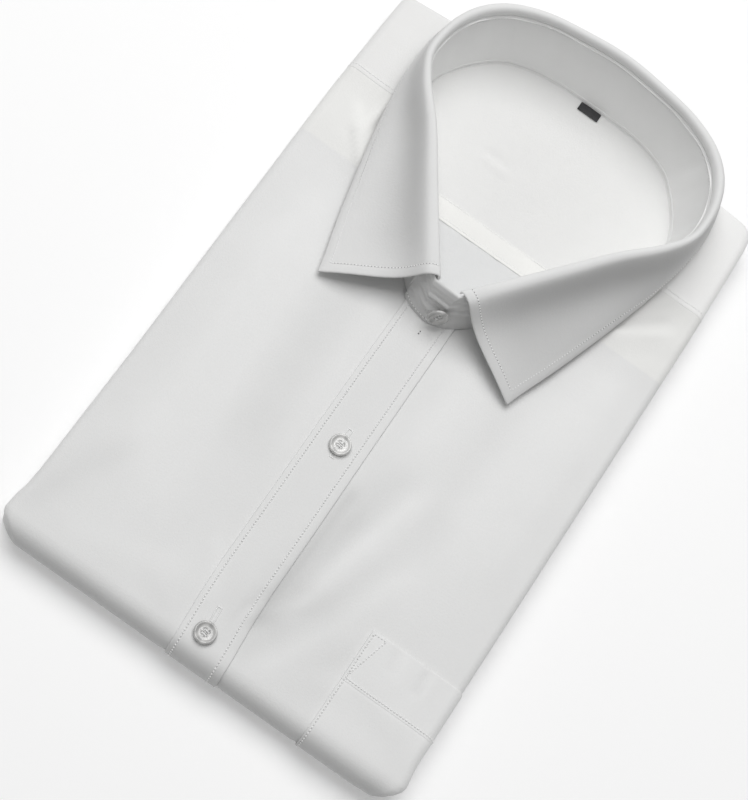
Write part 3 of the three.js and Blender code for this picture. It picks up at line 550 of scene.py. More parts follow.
# ---- Materials ----
class Look:
    """A material written as calls: add makes a node and gives its output."""

    def __init__(self, name, colour, roughness, **inputs):
        self.material = bpy.data.materials.new(name)
        self.material.use_nodes = True
        self.tree = self.material.node_tree
        self.shader = self.tree.nodes["Principled BSDF"]
        named = {key.replace("_", " "): value for key, value in inputs.items()}
        self.feed(self.shader, {"Base Color": (*colour, 1), "Roughness": roughness, **named})

    def feed(self, node, inputs):
        for key, value in inputs.items():
            if isinstance(value, bpy.types.NodeSocket):
                self.tree.links.new(value, node.inputs[key])
            else:
                node.inputs[key].default_value = value

    def add(self, kind, output, inputs, **settings):
        node = self.tree.nodes.new("ShaderNode" + kind)
        for key, value in settings.items():
            setattr(node, key, value)
        self.feed(node, inputs)
        return node.outputs[output]

    def maths(self, operation, *values):
        return self.add("Math", "Value", dict(enumerate(values)), operation=operation)

    def body(self):
        return self.add("TexCoord", "Object", {})

    def bump(self, height, strength, distance, **inputs):
        return self.add("Bump", "Normal", {"Height": height, "Strength": strength, "Distance": distance, **inputs})

    def noise(self, vector, scale, detail, **inputs):
        return self.add("TexNoise", "Fac", {"Vector": vector, "Scale": scale, "Detail": detail, **inputs})

    def level(self, value, low, high):
        return self.add("MapRange", "Result", {"Value": value, "From Min": low, "From Max": high})

    def mix(self, factor, a, b, **settings):
        return self.add("Mix", "Result", {"Factor": factor, "A": a, "B": b}, data_type="RGBA", **settings)

    def with_painted_shading(self, colour):
        """The base colour with painted light and shade: made lighter or darker by the mesh's own painted_shading
        values.
        """
        depth = self.maths("ADD", self.add("Attribute", "Fac", {}, attribute_name="painted_shading"), 1.0)
        tint = self.add("VectorMath", "Vector", {0: colour, "Scale": depth}, operation="SCALE")
        self.feed(self.shader, {"Base Color": tint})


WEAVE = ((0, 0.00042), (math.pi / 2, 0.00058))     # turn and pitch in metres of warp and weft
WAVE_SCALE = 1 / (2 * math.pi) * 20 / 3.2
ZONE_FADE = 0.0008


def poplin(name, colour, shade, zones=()):
    """Fine cotton poplin: a ribbed plain weave, threads of uneven weight and a faint mottle.

    In a zone another layer lies right behind, and the cloth looks whiter: low, high, gain."""
    look = Look(name, colour, 0.82, Sheen_Weight=0.15, Sheen_Roughness=0.4, Specular_IOR_Level=0.28)
    cut, body = look.add("UVMap", "UV", {}, uv_map="cut"), look.body()
    ribs = []
    for turn, pitch in WEAVE:
        laid = look.add("Mapping", "Vector", {"Vector": cut, "Rotation": (0, 0, turn),
                                              "Scale": (1 / pitch, 1 / pitch, 1)})
        ribs.append(look.add("TexWave", "Fac", {"Vector": laid, "Scale": WAVE_SCALE, "Distortion": 0.6,
                                                "Detail Scale": 0.4}))
    along_thread = look.add("Mapping", "Vector", {"Vector": cut, "Scale": (1800, 60, 1)})
    slub = look.noise(along_thread, 1.0, 3.0)
    mottle = look.level(look.noise(body, 26.0, 4.0, Roughness=0.6), 0.3, 0.62)
    share = look.maths("MULTIPLY_ADD", slub, 0.5, look.maths("MULTIPLY", mottle, 0.6))
    shown = look.mix(share, (*[c * shade for c in colour], 1), (*colour, 1))
    for low, high, gain in zones:
        row = look.add("SeparateXYZ", "Y", {"Vector": cut})
        edges = [look.level(row, edge - fade, edge + fade) for edge, fade in ((low, ZONE_FADE), (high, -ZONE_FADE))]
        shown = look.mix(look.maths("MULTIPLY", *edges), shown, (gain, gain * 0.998, gain * 0.985, 1),
                         blend_type="MULTIPLY", clamp_result=False)
    look.with_painted_shading(shown)
    ribbed = look.bump(look.maths("MAXIMUM", *ribs), 0.35, 0.00006)
    fuzz = look.bump(look.noise(body, 900.0, 2.0), 0.25, 0.0004, Normal=ribbed)
    look.feed(look.shader, {"Normal": fuzz})
    return look.material


def pearl():
    """Grey-white mother-of-pearl: growth bands, a glossy skin and cloudy patches."""
    look = Look("pearl", (0.62, 0.61, 0.6), 0.18, Coat_Weight=0.6, Coat_Roughness=0.06)
    bands = look.add("TexWave", "Fac", {"Vector": look.body(), "Scale": 60.0, "Distortion": 5.0, "Detail": 2.0})
    cloud = look.noise(look.body(), 240.0, 2.0)
    spread = look.level(look.maths("MULTIPLY", bands, cloud), 0.05, 0.5)
    look.with_painted_shading(look.mix(spread, (0.60, 0.60, 0.59, 1), (0.82, 0.815, 0.80, 1)))
    look.feed(look.shader, {"Normal": look.bump(cloud, 0.05, 0.0001)})
    return look.material


def ribbed(name, colour, roughness, scale, distortion, direction, strength, distance):
    """A woven satin or a twisted thread: fine ridges in one direction."""
    look = Look(name, colour, roughness, Sheen_Weight=0.2)
    ribs = look.add("TexWave", "Fac", {"Vector": look.body(), "Scale": scale, "Distortion": distortion},
                    bands_direction=direction)
    look.feed(look.shader, {"Normal": look.bump(ribs, strength, distance)})
    return look.material


def thread(name, colour):
    return ribbed(name, colour, 0.6, 2200.0, 0.5, "DIAGONAL", 0.5, 0.00008)


WHITE = (0.842, 0.843, 0.838)
COTTON = poplin("cotton_poplin", WHITE, 0.965, [(0.268, 0.330, 1.05)])
YOKE_COTTON = poplin("yoke_poplin", (0.862, 0.86, 0.852), 0.975)
INNER = poplin("inner_cotton", (0.845, 0.845, 0.836), 0.975, [(0.2715, 0.2845, 1.08)])
BACK_INNER = poplin("back_cotton", (0.785, 0.79, 0.79), 0.96)
HIDDEN = poplin("hidden_cotton", (0.80, 0.802, 0.81), 0.93)
THREAD = thread("white_thread", (0.97, 0.97, 0.965))
# Dark dots at needle holes and pin holes: the holes themselves, and painted shadow where the thread dives into the
# cloth.
HOLE_AND_SHADOW_LOOK = thread("needle_holes_and_shadow", (0.2, 0.2, 0.2))
PEARL = pearl()
SATIN = ribbed("label_satin", (0.012, 0.012, 0.014), 0.45, 900.0, 0.4, "Y", 0.4, 0.0001)


# ---- Sewing ----
# One stitch: place along it, width, and height over the cloth.
STITCH = np.array([(0, 0.05, -1), (0.06, 0.6, -0.3), (0.25, 1, 0.5), (0.5, 1, 1), (0.75, 1, 0.5), (0.94, 0.6, -0.3),
                   (1, 0.05, -1)])
STITCH_SIDES, PRICK_SIDES = 6, 7


class Sewing:
    """Stitches collected as little bent capsules, to be joined into one object."""

    def __init__(self):
        self.parts, self.pricks = [], []

    def bar(self, start, end, normal, width, sag=0.12, crown=1.0):
        """One stitch, its ends dipping into the cloth; crown is its height over its width."""
        along = unit(end - start)
        side = unit(np.cross(along, unit(normal)))
        up = np.cross(side, along)
        place, size, height = STITCH.T
        centre = start + (end - start) * place[:, None] + up * (height * sag)[:, None]
        ring = circle(STITCH_SIDES, side, up * crown)
        self.parts.append(skin(centre[:, None] + ring * (size * width / 2)[:, None, None]))

    def prick(self, centre, normal, radius):
        """A needle hole with painted shadow: a small dark double cone that breaks the cloth's surface, its dark colour
        standing in for the shade in and beside the hole.
        """
        normal, n = unit(normal), PRICK_SIDES
        side = unit(np.cross(normal, [0.3, 0.5, 0.81]))
        ring = centre + radius * circle(n, side, np.cross(normal, side)) - normal * 0.12
        points = np.vstack([ring, [centre + normal * 0.05, centre - normal * 0.2]])
        faces = [(i, (i + 1) % n, n) for i in range(n)] + [((i + 1) % n, i, n + 1) for i in range(n)]
        self.pricks.append((points, faces, np.zeros((len(points), 2))))

    def run(self, points, normals, pitch=1.75, share=0.62, width=0.64, prick=0.25):
        """Evenly spaced stitches along a line of points, each filling a share of the pitch."""
        length = arc_lengths(points)
        count = max(1, int(length[-1] / pitch))

        def at(step, values):
            return np.array([np.interp(step * length[-1] / count, length, column) for column in values.T])

        for middle in np.arange(count) + 0.5:
            normal = at(middle, normals)
            self.bar(at(middle - share / 2, points), at(middle + share / 2, points), normal, width, crown=0.6)
            # a dark dot after each stitch: the needle hole, with painted shadow
            if prick:
                self.prick(at(middle + 0.5, points), normal, prick)

    def on_cloth(self, columns, rows, lift, pitch=1.75, slant=True, **options):
        columns, rows = np.broadcast_arrays(np.asarray(columns, float), np.asarray(rows, float))
        shown = slanted(columns, rows) if slant else rows
        points = cloth_point(columns, shown, lift)
        self.run(points, unit(cloth_point(columns, shown, lift + 0.5) - points), pitch, **options)

    def object(self, name, material):
        groups = (self.parts, self.pricks)
        of_face = [k for k, group in enumerate(groups) for _, faces, _ in group for _ in faces]
        obj = mesh_object(name, *joined(self.parts + self.pricks), [material, HOLE_AND_SHADOW_LOOK], of_face)
        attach(obj, "root")
        return obj


def dense(low, high, step=1.5):
    return np.linspace(low, high, max(2, int(abs(high - low) / step) + 1))


def spot_at(x, y, x0, y0, size):
    return np.exp(-((x - x0) ** 2 + (y - y0) ** 2) / size ** 2)


def panel_painted_shading(x, y, z):
    """Painted shade and light on the front: creases painted greyer, the bottom fold painted darker, a painted
    highlight along the pocket's edge and a painted dark patch between it and the placket.
    """
    above = smooth(z, MID, STACK - 6) * smooth(y, 2, 20)
    painted_light_spots = 0.055 * smooth(x, 58, 66) * (1 - smooth(y, 62, 68)) - 0.05 * spot_at(x, y, 47, 50, 28)
    return (np.clip(0.055 * relief(x, y), -0.16, 0.05) + painted_light_spots) * above - 0.24 * (1 - smooth(y, 0, 8))


def yoke_painted_light(x, y, z):
    """Painted light: the yoke is painted a little brighter towards the left shoulder."""
    return 0.1 * smooth(x, 30, 90)


def fall_painted_shade(x, y, z):
    """Painted shade on the leaf: darker across its middle and more on the +x side, by the nearest point of its middle
    surface.
    """
    spots = fall_mid.reshape(-1, 3)
    tree = kdtree.KDTree(len(spots))
    for k, spot in enumerate(spots):
        tree.insert(spot, k)
    tree.balance()
    front = np.abs(fall_at - 0.5)[:, None] * 2
    right = fall_mid[:, :1, 0] > 0
    painted_fall_shade = np.sin(math.pi * np.clip((fall_across[None] - 0.28) / 0.68, 0, 1)) ** np.where(right, 0.9, 1.6)
    painted_fall_shade = painted_fall_shade * smooth(front, 0.2, 0.55) * (1 - 0.62 * smooth(front, 0.84, 0.97)) * np.where(right, 0.24, 0.22)
    painted_fall_shade = painted_fall_shade + 0.1 * smooth(fall_mid[..., 0], -10, 30) * smooth(fall_across[None], 0.3, 0.5)
    near = [tree.find(point)[1] for point in np.stack([x, y, z], -1)]
    return -painted_fall_shade.ravel()[near]


def stand_painted_shading(x, y, z):
    """Painted light and shade on the band: painted lighter inside the neck, most towards -x and at the back, and
    painted darker on its front under the leaves.
    """
    inside = smooth(y, 250, 290) * (0.1 + 0.07 * np.maximum(smooth(-x, 20, 60), smooth(y, 350, 375)))
    front = (1 - smooth(y, 222, 234)) * (1 - smooth(np.abs(x + 3), 18, 30))
    return inside - 0.16 * front


def paint_shading(obj, tone_of):
    """Paints light and shade into the piece: a value per point that the material reads to make its base colour lighter
    or darker.
    """
    layer = obj.data.attributes.new("painted_shading", "FLOAT", "POINT")
    layer.data.foreach_set("value", tone_of(*shirt_points(obj.data).T).astype(np.float32))


# Painted light and shade for each piece, by its CAD part's name.
PAINTED_SHADING_BY_PIECE = {"yoke": yoke_painted_light, "collar_fall": fall_painted_shade, "collar_stand": stand_painted_shading,
         **dict.fromkeys(("front_left", "front_right", "placket", "pocket", "pocket_band"), panel_painted_shading)}


def finished(obj, node, slot, material, flat=None, rests_on=None, area=None):
    """Gives the piece its material and painted light and shade, hides its CAD part and attaches it to the root; flat,
    the size of its cut in millimetres, and area, in square metres, are not used.
    """
    if node in PAINTED_SHADING_BY_PIECE:
        paint_shading(obj, PAINTED_SHADING_BY_PIECE[node])
    obj.data.materials.clear()
    obj.data.materials.append(material)
    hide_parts(node)
    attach(obj, "root")


def cloth_object(name, parts, cut=False):
    """A piece of cloth, with the neck opening cut out of it if asked."""
    obj = mesh_object(name, *(joined(parts) if isinstance(parts, list) else parts))
    if cut:
        whole, obj.data = obj.data, carved(obj, cutter)
        bpy.data.meshes.remove(whole)
    return obj


# ---- Panels ----
FINE = 2.2
AT_NOSE, AT_WRAP, AT_SEAM = (1.2, 1.0), (0.9, 0.5), (0.4, 1.2)      # spacing and reach of the closer stations
front_edge = PLACKET["x"] + PLACKET["underlap"]
nose_marks = list(np.linspace(MID, NOSE_END, 14))
wrap_marks = list(np.linspace(FOLD_X, EDGE_END, 9))
wrap_mirror = [-m for m in wrap_marks]
front_rows = stations(UNDER_END, YOKE_SEAM["y"] - SEAM_GAP / 2, FINE, nose_marks, *AT_NOSE)


def front_lift(c, r):
    return groove(r - (YOKE_SEAM["y"] - 2.2), 0.04)


def front(name, low, high, marks):
    columns = stations(low, high, FINE, marks, *AT_WRAP)
    return cloth_object(name, cloth_grid(columns, front_rows, 0, THIN, front_lift), True)


front_right = front("shirt_front_right", -EDGE_END, front_edge, wrap_mirror)
front_left = front("shirt_front_left", front_edge + SEAM_GAP, EDGE_END, wrap_marks)


def placket_lift(c, r):
    return groove(c - STITCH_LINES[0]) + groove(c - STITCH_LINES[1])


placket_rows = stations(UNDER_END, PLACKET["top"], FINE, nose_marks, *AT_NOSE)
placket_columns = stations(PLACKET_LEFT, PLACKET_RIGHT, 1.5, STITCH_LINES, 0.4, 1.4)
placket = cloth_object("shirt_placket", cloth_grid(placket_columns, placket_rows, ON_TOP, PLACKET_WALL,
                                                placket_lift), True)


POCKET_STITCH = POCKET["left"] + 1.4
BAND_STITCH = POCKET["bandBottom"] + 1.2


def pocket_lift(c, r):
    return groove(c - POCKET_STITCH) - 0.55 * smooth(c, 98, FOLD_X)


pocket_end = FOLD_X + EDGE_RADIUS * EDGE_WRAP * 0.8
pocket_columns = stations(POCKET["left"], pocket_end, FINE, [POCKET_STITCH] + wrap_marks[:-2], *AT_SEAM)
pocket_rows = stations(POCKET["bottom"], POCKET["bandBottom"] - SEAM_GAP / 2, FINE, nose_marks, *AT_NOSE)
band_rows = stations(POCKET["bandBottom"] - 0.6, POCKET["top"], 1.5, [BAND_STITCH], *AT_SEAM)
pocket = cloth_object("shirt_pocket", cloth_grid(pocket_columns, pocket_rows, ON_TOP, POCKET_WALL, pocket_lift))


def band_lift(c, r):
    edge = 0.12 * (1 - smooth(r, POCKET["bandBottom"], POCKET["bandBottom"] + 3))
    return pocket_lift(c, r) + edge + groove(r - BAND_STITCH, 0.06)


pocket_band = cloth_object("shirt_pocket_band", cloth_grid(pocket_columns, band_rows, ON_TOP, BAND_WALL, band_lift))


def yoke_parts():
    columns = inset(stations(-EDGE_END, EDGE_END, FINE, wrap_marks + wrap_mirror, *AT_WRAP), THIN / 2)
    flat = dense(YOKE_SEAM["y"] - 0.7, 366, FINE)
    turns = np.linspace(0, 1, 16)[1:]
    c = np.repeat(columns[:, None], len(flat) + len(turns) + 1, 1)
    fold = shoulder_fold(columns)[:, None] - EDGE_RADIUS
    low = slanted(columns[:, None], flat[None])
    r = np.concatenate([low, fold, fold + (EDGE_RADIUS * EDGE_WRAP - THIN / 2) * turns[None]], 1)
    lap = YOKE_SEAM["y"] - YOKE_SEAM["slant"] * c / (WIDTH / 2)
    lift = 0.2 * (1 - smooth(r, lap, lap + 3.5)) + groove(r - lap - 2.0, 0.05)
    return shell(cloth_point(c, r, lift), cloth_point(c, r, lift - THIN), np.stack([c, r], -1))


yoke = cloth_object("shirt_yoke", yoke_parts(), True)


FLOOR_EDGE = 0.3                      # how far the floor's edges stay back
FLOOR_SEAT = -0.02
ALLOWANCE = 11.6                      # from the back seam to the top of its allowance
FLOOR_CREASES = [(-26, 322, -19, 321, 2.6, -1.2), (-27, 318, -18, 318, 2.6, 0.9)]


def floor_parts(high, low, seam_lift):
    half = NECK_FLOOR["half"] - FLOOR_EDGE
    rows = stations(low + FLOOR_EDGE, high - FLOOR_EDGE, FINE, [BACK_SEAM_Y, BACK_SEAM_Y + 12], 0.5, 1.5)
    c, r = np.meshgrid(stations(-half, half, FINE), rows, indexing="ij")
    r = np.minimum(r, shoulder_fold(c) - EDGE_RADIUS + NECK_FLOOR["past"])
    uneven = along_crease(c, r, FLOOR_CREASES) + 0.12 * waves(c, r, 23, 10, 14, 60)
    top = cloth_point(c, r, FLOOR_LIFT + uneven + seam_lift(c, r) + FLOOR_SEAT)
    return shell(top, top - [0, 0, FLOOR_WALL], np.stack([c, r], -1))


def lining_seam(c, r):
    """The seam allowance under the lining makes a raised strip above its lower edge."""
    strip = smooth(r, BACK_SEAM_Y + 11, BACK_SEAM_Y + 13)
    return -0.3 * strip + 0.15 + groove(r - BACK_SEAM_Y - 1.4, 0.1) + groove(r - BACK_SEAM_Y - ALLOWANCE, 0.12)


def back_seam(c, r):
    gather = 0.10 * np.sin(c / 1.7 + np.sin(c / 6.0)) + 0.08 * np.sin(c / 3.1 + 2)
    return -0.35 + gather * np.exp(-(BACK_SEAM_Y - r) / 14)


lining = cloth_object("shirt_yoke_lining", floor_parts(NECK_FLOOR["high"], BACK_SEAM_Y - 0.6, lining_seam))
back = cloth_object("shirt_back", floor_parts(BACK_SEAM_Y - 0.15, NECK_FLOOR["low"], back_seam))


# ---- Hidden layers: plies with rounded, uneven edges ----
PLIES = [dict(zip(("low", "wall", "side", "top"), row)) for row in (
    (2.2, 2.5, 8.0, 355.0), (4.9, 2.2, 7.3, 361.0), (7.2, 2.2, 7.9, 357.5), (9.6, 1.25, 2.4, 366.0),
    (11.0, 1.25, 1.5, 368.5), (12.4, 1.6, 9.0, 366.0), (14.1, 2.0, 9.6, 371.0), (16.2, 3.2, 8.6, 373.0),
)]


def ply_parts(k, ply):
    half = WIDTH / 2 - ply["side"] - ply["wall"] / 2
    low, high = 9.0, ply["top"] - ply["wall"] / 2
    u, v = np.meshgrid(np.linspace(-1, 1, 60), np.linspace(0, 1, 150), indexing="ij")
    y = low + (high - low) * v
    rng = np.random.default_rng(40 + k)
    phase = rng.uniform(0, 6.28, 4)
    uneven = 0.5 * np.sin(y / 17 + phase[0]) + 0.35 * np.sin(y / 7.1 + phase[1])
    tip = 0.8 * np.sin(u * 6 + phase[2]) + 0.4 * np.sin(u * 17 + phase[3])
    corner = 7.0
    near = np.maximum(0, y - (high - corner)) / corner
    squeeze = corner * (1 - np.sqrt(np.clip(1 - near ** 2, 0, 1)))
    x = u * (half + uneven - squeeze)
    y = y + tip * smooth(v, 0.5, 1)
    z = ply["low"] + ply["wall"] / 2 + 0.12 * waves(x, y, 60 + k, 6, 40, 120)
    z += smooth(k, 3, len(PLIES) - 1) * np.minimum(0, along_crease(x, y, RELIEF + CREASES) + 0.9)
    mid = np.stack([x + swell(x, y) * smooth(y, 6, 20), y, z], -1)
    half_wall = np.array([0, 0, ply["wall"] / 2])
    return shell(mid + half_wall, mid - half_wall, np.stack([x, y], -1))


layers = cloth_object("shirt_folded_layers", [ply_parts(k, ply) for k, ply in enumerate(PLIES)])


def press_under_floor(mesh):
    """The plies stop just under the front and, lower, under the neck floor."""
    points = shirt_points(mesh)
    in_neck = (np.abs(points[:, 0]) < 88) & (points[:, 1] > 205)
    points[:, 2] = np.minimum(points[:, 2], STACK - np.where(in_neck, 3.4, 1.6))
    mesh.vertices.foreach_set("co", ((points + SHIFT) * 0.001).ravel())


press_under_floor(layers.data)


# ---- Collar ----
def tab_end():
    at, start = 0.0, base_curve(0.0)[0, 0]
    while start - base_curve(at)[0, 0] < TAB_REACH:
        at += NUDGE / 2
    return at


TAB_AT = tab_end()


def stand_parts():
    places = np.concatenate([np.linspace(0, 0.9, 250), np.linspace(0.9, 1, 50)[1:],
                             1 + TAB_AT * np.linspace(0, 1, 22)[1:]])
    rows = np.linspace(0.0, 1.0, 37)
    past = np.maximum(0, places - 1) / TAB_AT * TAB_REACH
    corner = np.maximum(0, past - (TAB_REACH - TAB_ROUND)) / TAB_ROUND
    height = 1 - TAB_DROP * (1 - np.sqrt(1 - np.minimum(1, corner ** 2)))
    outer, inner = (np.stack([stand_points(places, height * (0.012 + 0.968 * row), depth) for row in rows], 1)
                    for depth in (0.0, 1.0))
    length = arc_lengths(outer[:, len(rows) // 2])
    return shell(outer, inner, np.stack(np.meshgrid(length, rows * STAND_HEIGHT, indexing="ij"), -1))


def foot_parts():
    """The band's lower edge turns in over the neckline inside."""
    places, turns = np.linspace(0.002, 0.998, 300), np.linspace(0, 1, 7)
    angle = turns * math.pi / 2
    reach, rise = 0.7, 1.1
    foot = stand_points(places, 0.0, 1.0)
    high = foot[:, 2:] + rise
    floor_z = cloth_point(foot[:, 0], foot[:, 1], FLOOR_LIFT)[:, 2:]
    grid = foot[:, None] - outward(base_curve, places)[:, None] * (reach * (1 - np.cos(angle)) - 0.2)[:, None]
    grid[..., 2] = high - (high - floor_z) * np.sin(angle)
    half_wall = grid_normals(grid) * 0.2
    uv = np.stack(np.meshgrid(np.linspace(0, 430, len(places)), turns * 4, indexing="ij"), -1)
    return shell(grid + half_wall, grid - half_wall, uv)


def ridge_parts():
    """The seam inside the band's upper edge, a thin rounded ridge."""
    places = np.linspace(0.002, 0.998, 420)
    line = stand_points(places, 0.955, 1.0)
    line[:, 2] += 0.3 * np.sin(places * 61) + 0.25 * np.sin(places * 113 + 2)
    size = 0.42 + 0.12 * np.sin(places * 97 + 1)
    up = np.array([0, 0, 1.0])
    return skin([spot + circle(8, inward, up) * radius
                 for spot, inward, radius in zip(line, -outward(base_curve, places), size)])


stand = cloth_object("shirt_collar_stand", [stand_parts(), foot_parts(), ridge_parts()])

FALL_COUNT, FALL_ROWS = 331, 53
FALL_STITCH = 4.6                     # from the leaf's edge to its sewn line
fall_at = np.linspace(0.0016, 0.9984, FALL_COUNT)
fall_across = np.linspace(0.004, 0.985, FALL_ROWS) ** 1.15
fall_mid = np.stack([fall_middle(fall_at, np.full(FALL_COUNT, across)) for across in fall_across], 1)
fall_normals = grid_normals(fall_mid)
if fall_normals[FALL_COUNT // 4, 10, 2] < 0:
    fall_normals = -fall_normals

down, along = arc_lengths(fall_mid, 1), arc_lengths(fall_mid, 0)
from_edge = down[:, -1:] - down
from_front = np.minimum(along, along[-1:] - along)
edge_distance = np.minimum(from_edge, from_front)
fall_lift = groove(edge_distance - FALL_STITCH, 0.14, 0.8) + 0.12 * np.exp(-((edge_distance - 2.5) / 2.2) ** 2)
fall = cloth_object("shirt_collar_fall", shell(
    fall_mid + fall_normals * (FALL_WALL / 2 + fall_lift[..., None]), fall_mid - fall_normals * FALL_WALL / 2,
    np.stack([along[:, -1:] * np.ones_like(down), down], -1)))


# ---- Finishing the cloth pieces ----
front_length = YOKE_SEAM["y"] - UNDER_END
pocket_width = pocket_end - POCKET["left"]
floor_width = 2 * NECK_FLOOR["half"]
stand_length = arc_lengths(base_curve(np.linspace(0, 1, 400)))[-1] + TAB_REACH
for piece in (
    (front_left, "front_left", "cotton_poplin", COTTON, (EDGE_END - front_edge, front_length), "folded_layers"),
    (front_right, "front_right", "cotton_poplin", COTTON, (EDGE_END + front_edge, front_length), "folded_layers"),
    (placket, "placket", "cotton_poplin", COTTON, (PLACKET["width"], PLACKET["top"] - UNDER_END), "front_right"),
    (pocket_band, "pocket_band", "cotton_poplin", COTTON, (pocket_width, POCKET["top"] - POCKET["bandBottom"]),
     "front_left"),
    (pocket, "pocket", "cotton_poplin", COTTON, (pocket_width, POCKET["bandBottom"] - POCKET["bottom"]), "front_left"),
    (yoke, "yoke", "cotton_poplin", YOKE_COTTON, (2 * EDGE_END, YOKE_DEPTH), "folded_layers", YOKE_AREA),
    (lining, "yoke_lining", "inner_cotton", INNER, (floor_width, NECK_FLOOR["high"] - BACK_SEAM_Y), "folded_layers"),
    (back, "back", "inner_cotton", BACK_INNER, (floor_width, BACK_SEAM_Y - NECK_FLOOR["low"]), "folded_layers"),
    (layers, "folded_layers", "inner_cotton", HIDDEN),
    (stand, "collar_stand", "cotton_poplin", COTTON, (stand_length, STAND_HEIGHT), "yoke"),
    (fall, "collar_fall", "cotton_poplin", COTTON, (along[-1].mean(), down[:, -1].mean()), "collar_stand"),
):
    finished(*piece)


# ---- Label ----
def label_parts():
    half = LABEL["width"] / 2
    columns = stations(LABEL["x"] - half + 0.2, LABEL["x"] + half - 0.2, 0.5)
    rows = stations(LABEL["top"] - LABEL["height"] + 0.2, LABEL["top"] - 0.2, 0.4)
    c, r = np.meshgrid(columns, rows, indexing="ij")
    bow = 0.15 * np.sin((c - columns[0]) / 4.0) + 0.1 * np.sin(r / 1.3)
    top = cloth_point(c, r, FLOOR_LIFT + 0.6 + bow)
    return shell(top, top - [0, 0, LABEL_WALL], np.stack([c, r], -1))


label = mesh_object("shirt_label", *label_parts())
finished(label, "label", "label_satin", SATIN)


# ---- Buttons ----
HOLE_TURN = math.radians(35.2)
DRILL = ((-1, 0.72), (1.42, 0.72), (1.62, 0.86), (4, 1.4))      # height, radius


def button_parts():
    """The disc turned from its profile, from the middle of the back to the middle of the face."""
    radius, thick = BUTTON["radius"], BUTTON["thick"]
    profile = [(radius - 1.6, 0), (radius - 0.9, 0.18), (radius - 0.3, BUTTON["rim"]), (radius - 0.06, 1.1),
               (radius, 1.45), (radius - 0.08, 1.85), (radius - 0.3, 2.2), (radius - 0.65, thick),
               (radius - 1.05, thick - 0.03), (radius - 1.4, thick - 0.25), (radius - 1.75, thick - 0.6),
               (radius - 2.2, thick - 0.8), (radius - 3.0, thick - 0.86)]
    sides = 72
    points, faces, _ = skin([circle(sides) * out + [0, 0, height] for out, height in profile])
    count = len(points)
    for a, b in zip(range(sides), np.roll(range(sides), -1)):
        faces += [(count, b, a), (count - sides + a, count - sides + b, count + 1)]
    faces = [face for face in faces if len(face) <= 4]
    return np.vstack([points, [(0, 0, 0), (0, 0, thick - 0.8)]]), faces


def hole_place(k, height):
    """The axis of one of the four holes, at a height over the button's back."""
    angle = HOLE_TURN + k * math.pi / 2
    return np.array([BUTTON["holeOffset"] * math.cos(angle), BUTTON["holeOffset"] * math.sin(angle), height])


def button_mesh():
    disc = plain_object("button_blank", *button_parts())
    drills = [skin([hole_place(k, z) + circle(24) * r for z, r in DRILL]) for k in range(4)]
    drill = plain_object("button_drill", *joined(drills)[:2])
    mesh = carved(disc, drill)
    for obj in (disc, drill):
        bpy.data.objects.remove(obj, do_unlink=True)
    mesh.polygons.foreach_set("use_smooth", [True] * len(mesh.polygons))
    mesh.materials.append(PEARL)
    return mesh


button_data = button_mesh()
THREADS = Sewing()


def thread_cross(matrix):
    """Sewing thread: a plug in each hole, and two parallel stitches from hole to hole."""
    def laid(point):
        return np.array(matrix @ Vector(tuple(point * 0.001))) * 1000 - SHIFT

    up = np.array(matrix.to_3x3() @ Vector((0, 0, 1)))
    for k in range(4):
        spot = laid(hole_place(k, 1.1))
        THREADS.bar(spot, spot + 0.3 * up, np.cross(up, [0.2, 0.9, 0.1]), width=1.3, sag=0.0)
    for pair in ((0, 1), (2, 3)):
        start, end = (hole_place(k, BUTTON["thick"] - 0.75) for k in pair)
        across = unit(np.cross(end - start, [0, 0, 1]))
        for side in (-0.2, 0.2):
            THREADS.bar(laid(start + across * side), laid(end + across * side), up, width=0.42, sag=0.18)


def button_object(node, point, turn, painted_darkening):
    """A button with its back at a point of the shirt; painted_darkening is how much darker it is painted, for the
    shade it lies in.
    """
    obj = placed("shirt_" + node, button_data.copy())
    obj.matrix_world = Matrix.Translation(Vector(tuple((point + SHIFT) * 0.001))) @ turn
    paint_shading(obj, lambda x, y, z: np.full(len(x), -painted_darkening))
    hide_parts(node)
    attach(obj, "root")
    thread_cross(obj.matrix_world.copy())


# The last number is each button's painted darkening, for the shade it lies in.
for node, (x, y), painted_darkening in (("button_2", BUTTON_2, 0.06), ("button_3", BUTTON_3, 0.24)):
    button_object(node, cloth_point(x - drift(x, y), y, ON_TOP + SEAM_GAP), Matrix.Identity(4), painted_darkening)


def collar_button():
    """The button on the band's tab, facing out from it."""
    def on_tab(at, rise):
        return stand_points(at, rise, 0.0)[0]

    at, rise = 1.0, 0.42
    while on_tab(at, rise)[0] < -3.1:
        at -= NUDGE / 4
    seat = on_tab(at, rise)
    facing = unit(np.cross(on_tab(at, 1.0) - seat, on_tab(at - 4 * NUDGE, rise) - seat))
    if facing[1] > 0:
        facing = -facing
    turn = Vector((0, 0, 1)).rotation_difference(Vector(tuple(facing))).to_matrix().to_4x4()
    # painted shade: the collar button is painted darker, in the shade of the collar leaves
    button_object("button_collar", seat + facing * (SEAM_GAP + 0.7), turn, 0.3)


collar_button()
THREADS.object("button_threads", THREAD)

# ---- Stitches ----
SEWN = ON_TOP + 0.1                   # lift of stitches on the placket and the pocket

placket_sewing = Sewing()
for line in STITCH_LINES:
    placket_sewing.on_cloth(line, dense(224, NOSE_END - 60, 1.0), SEWN, width=0.82, prick=0.1)
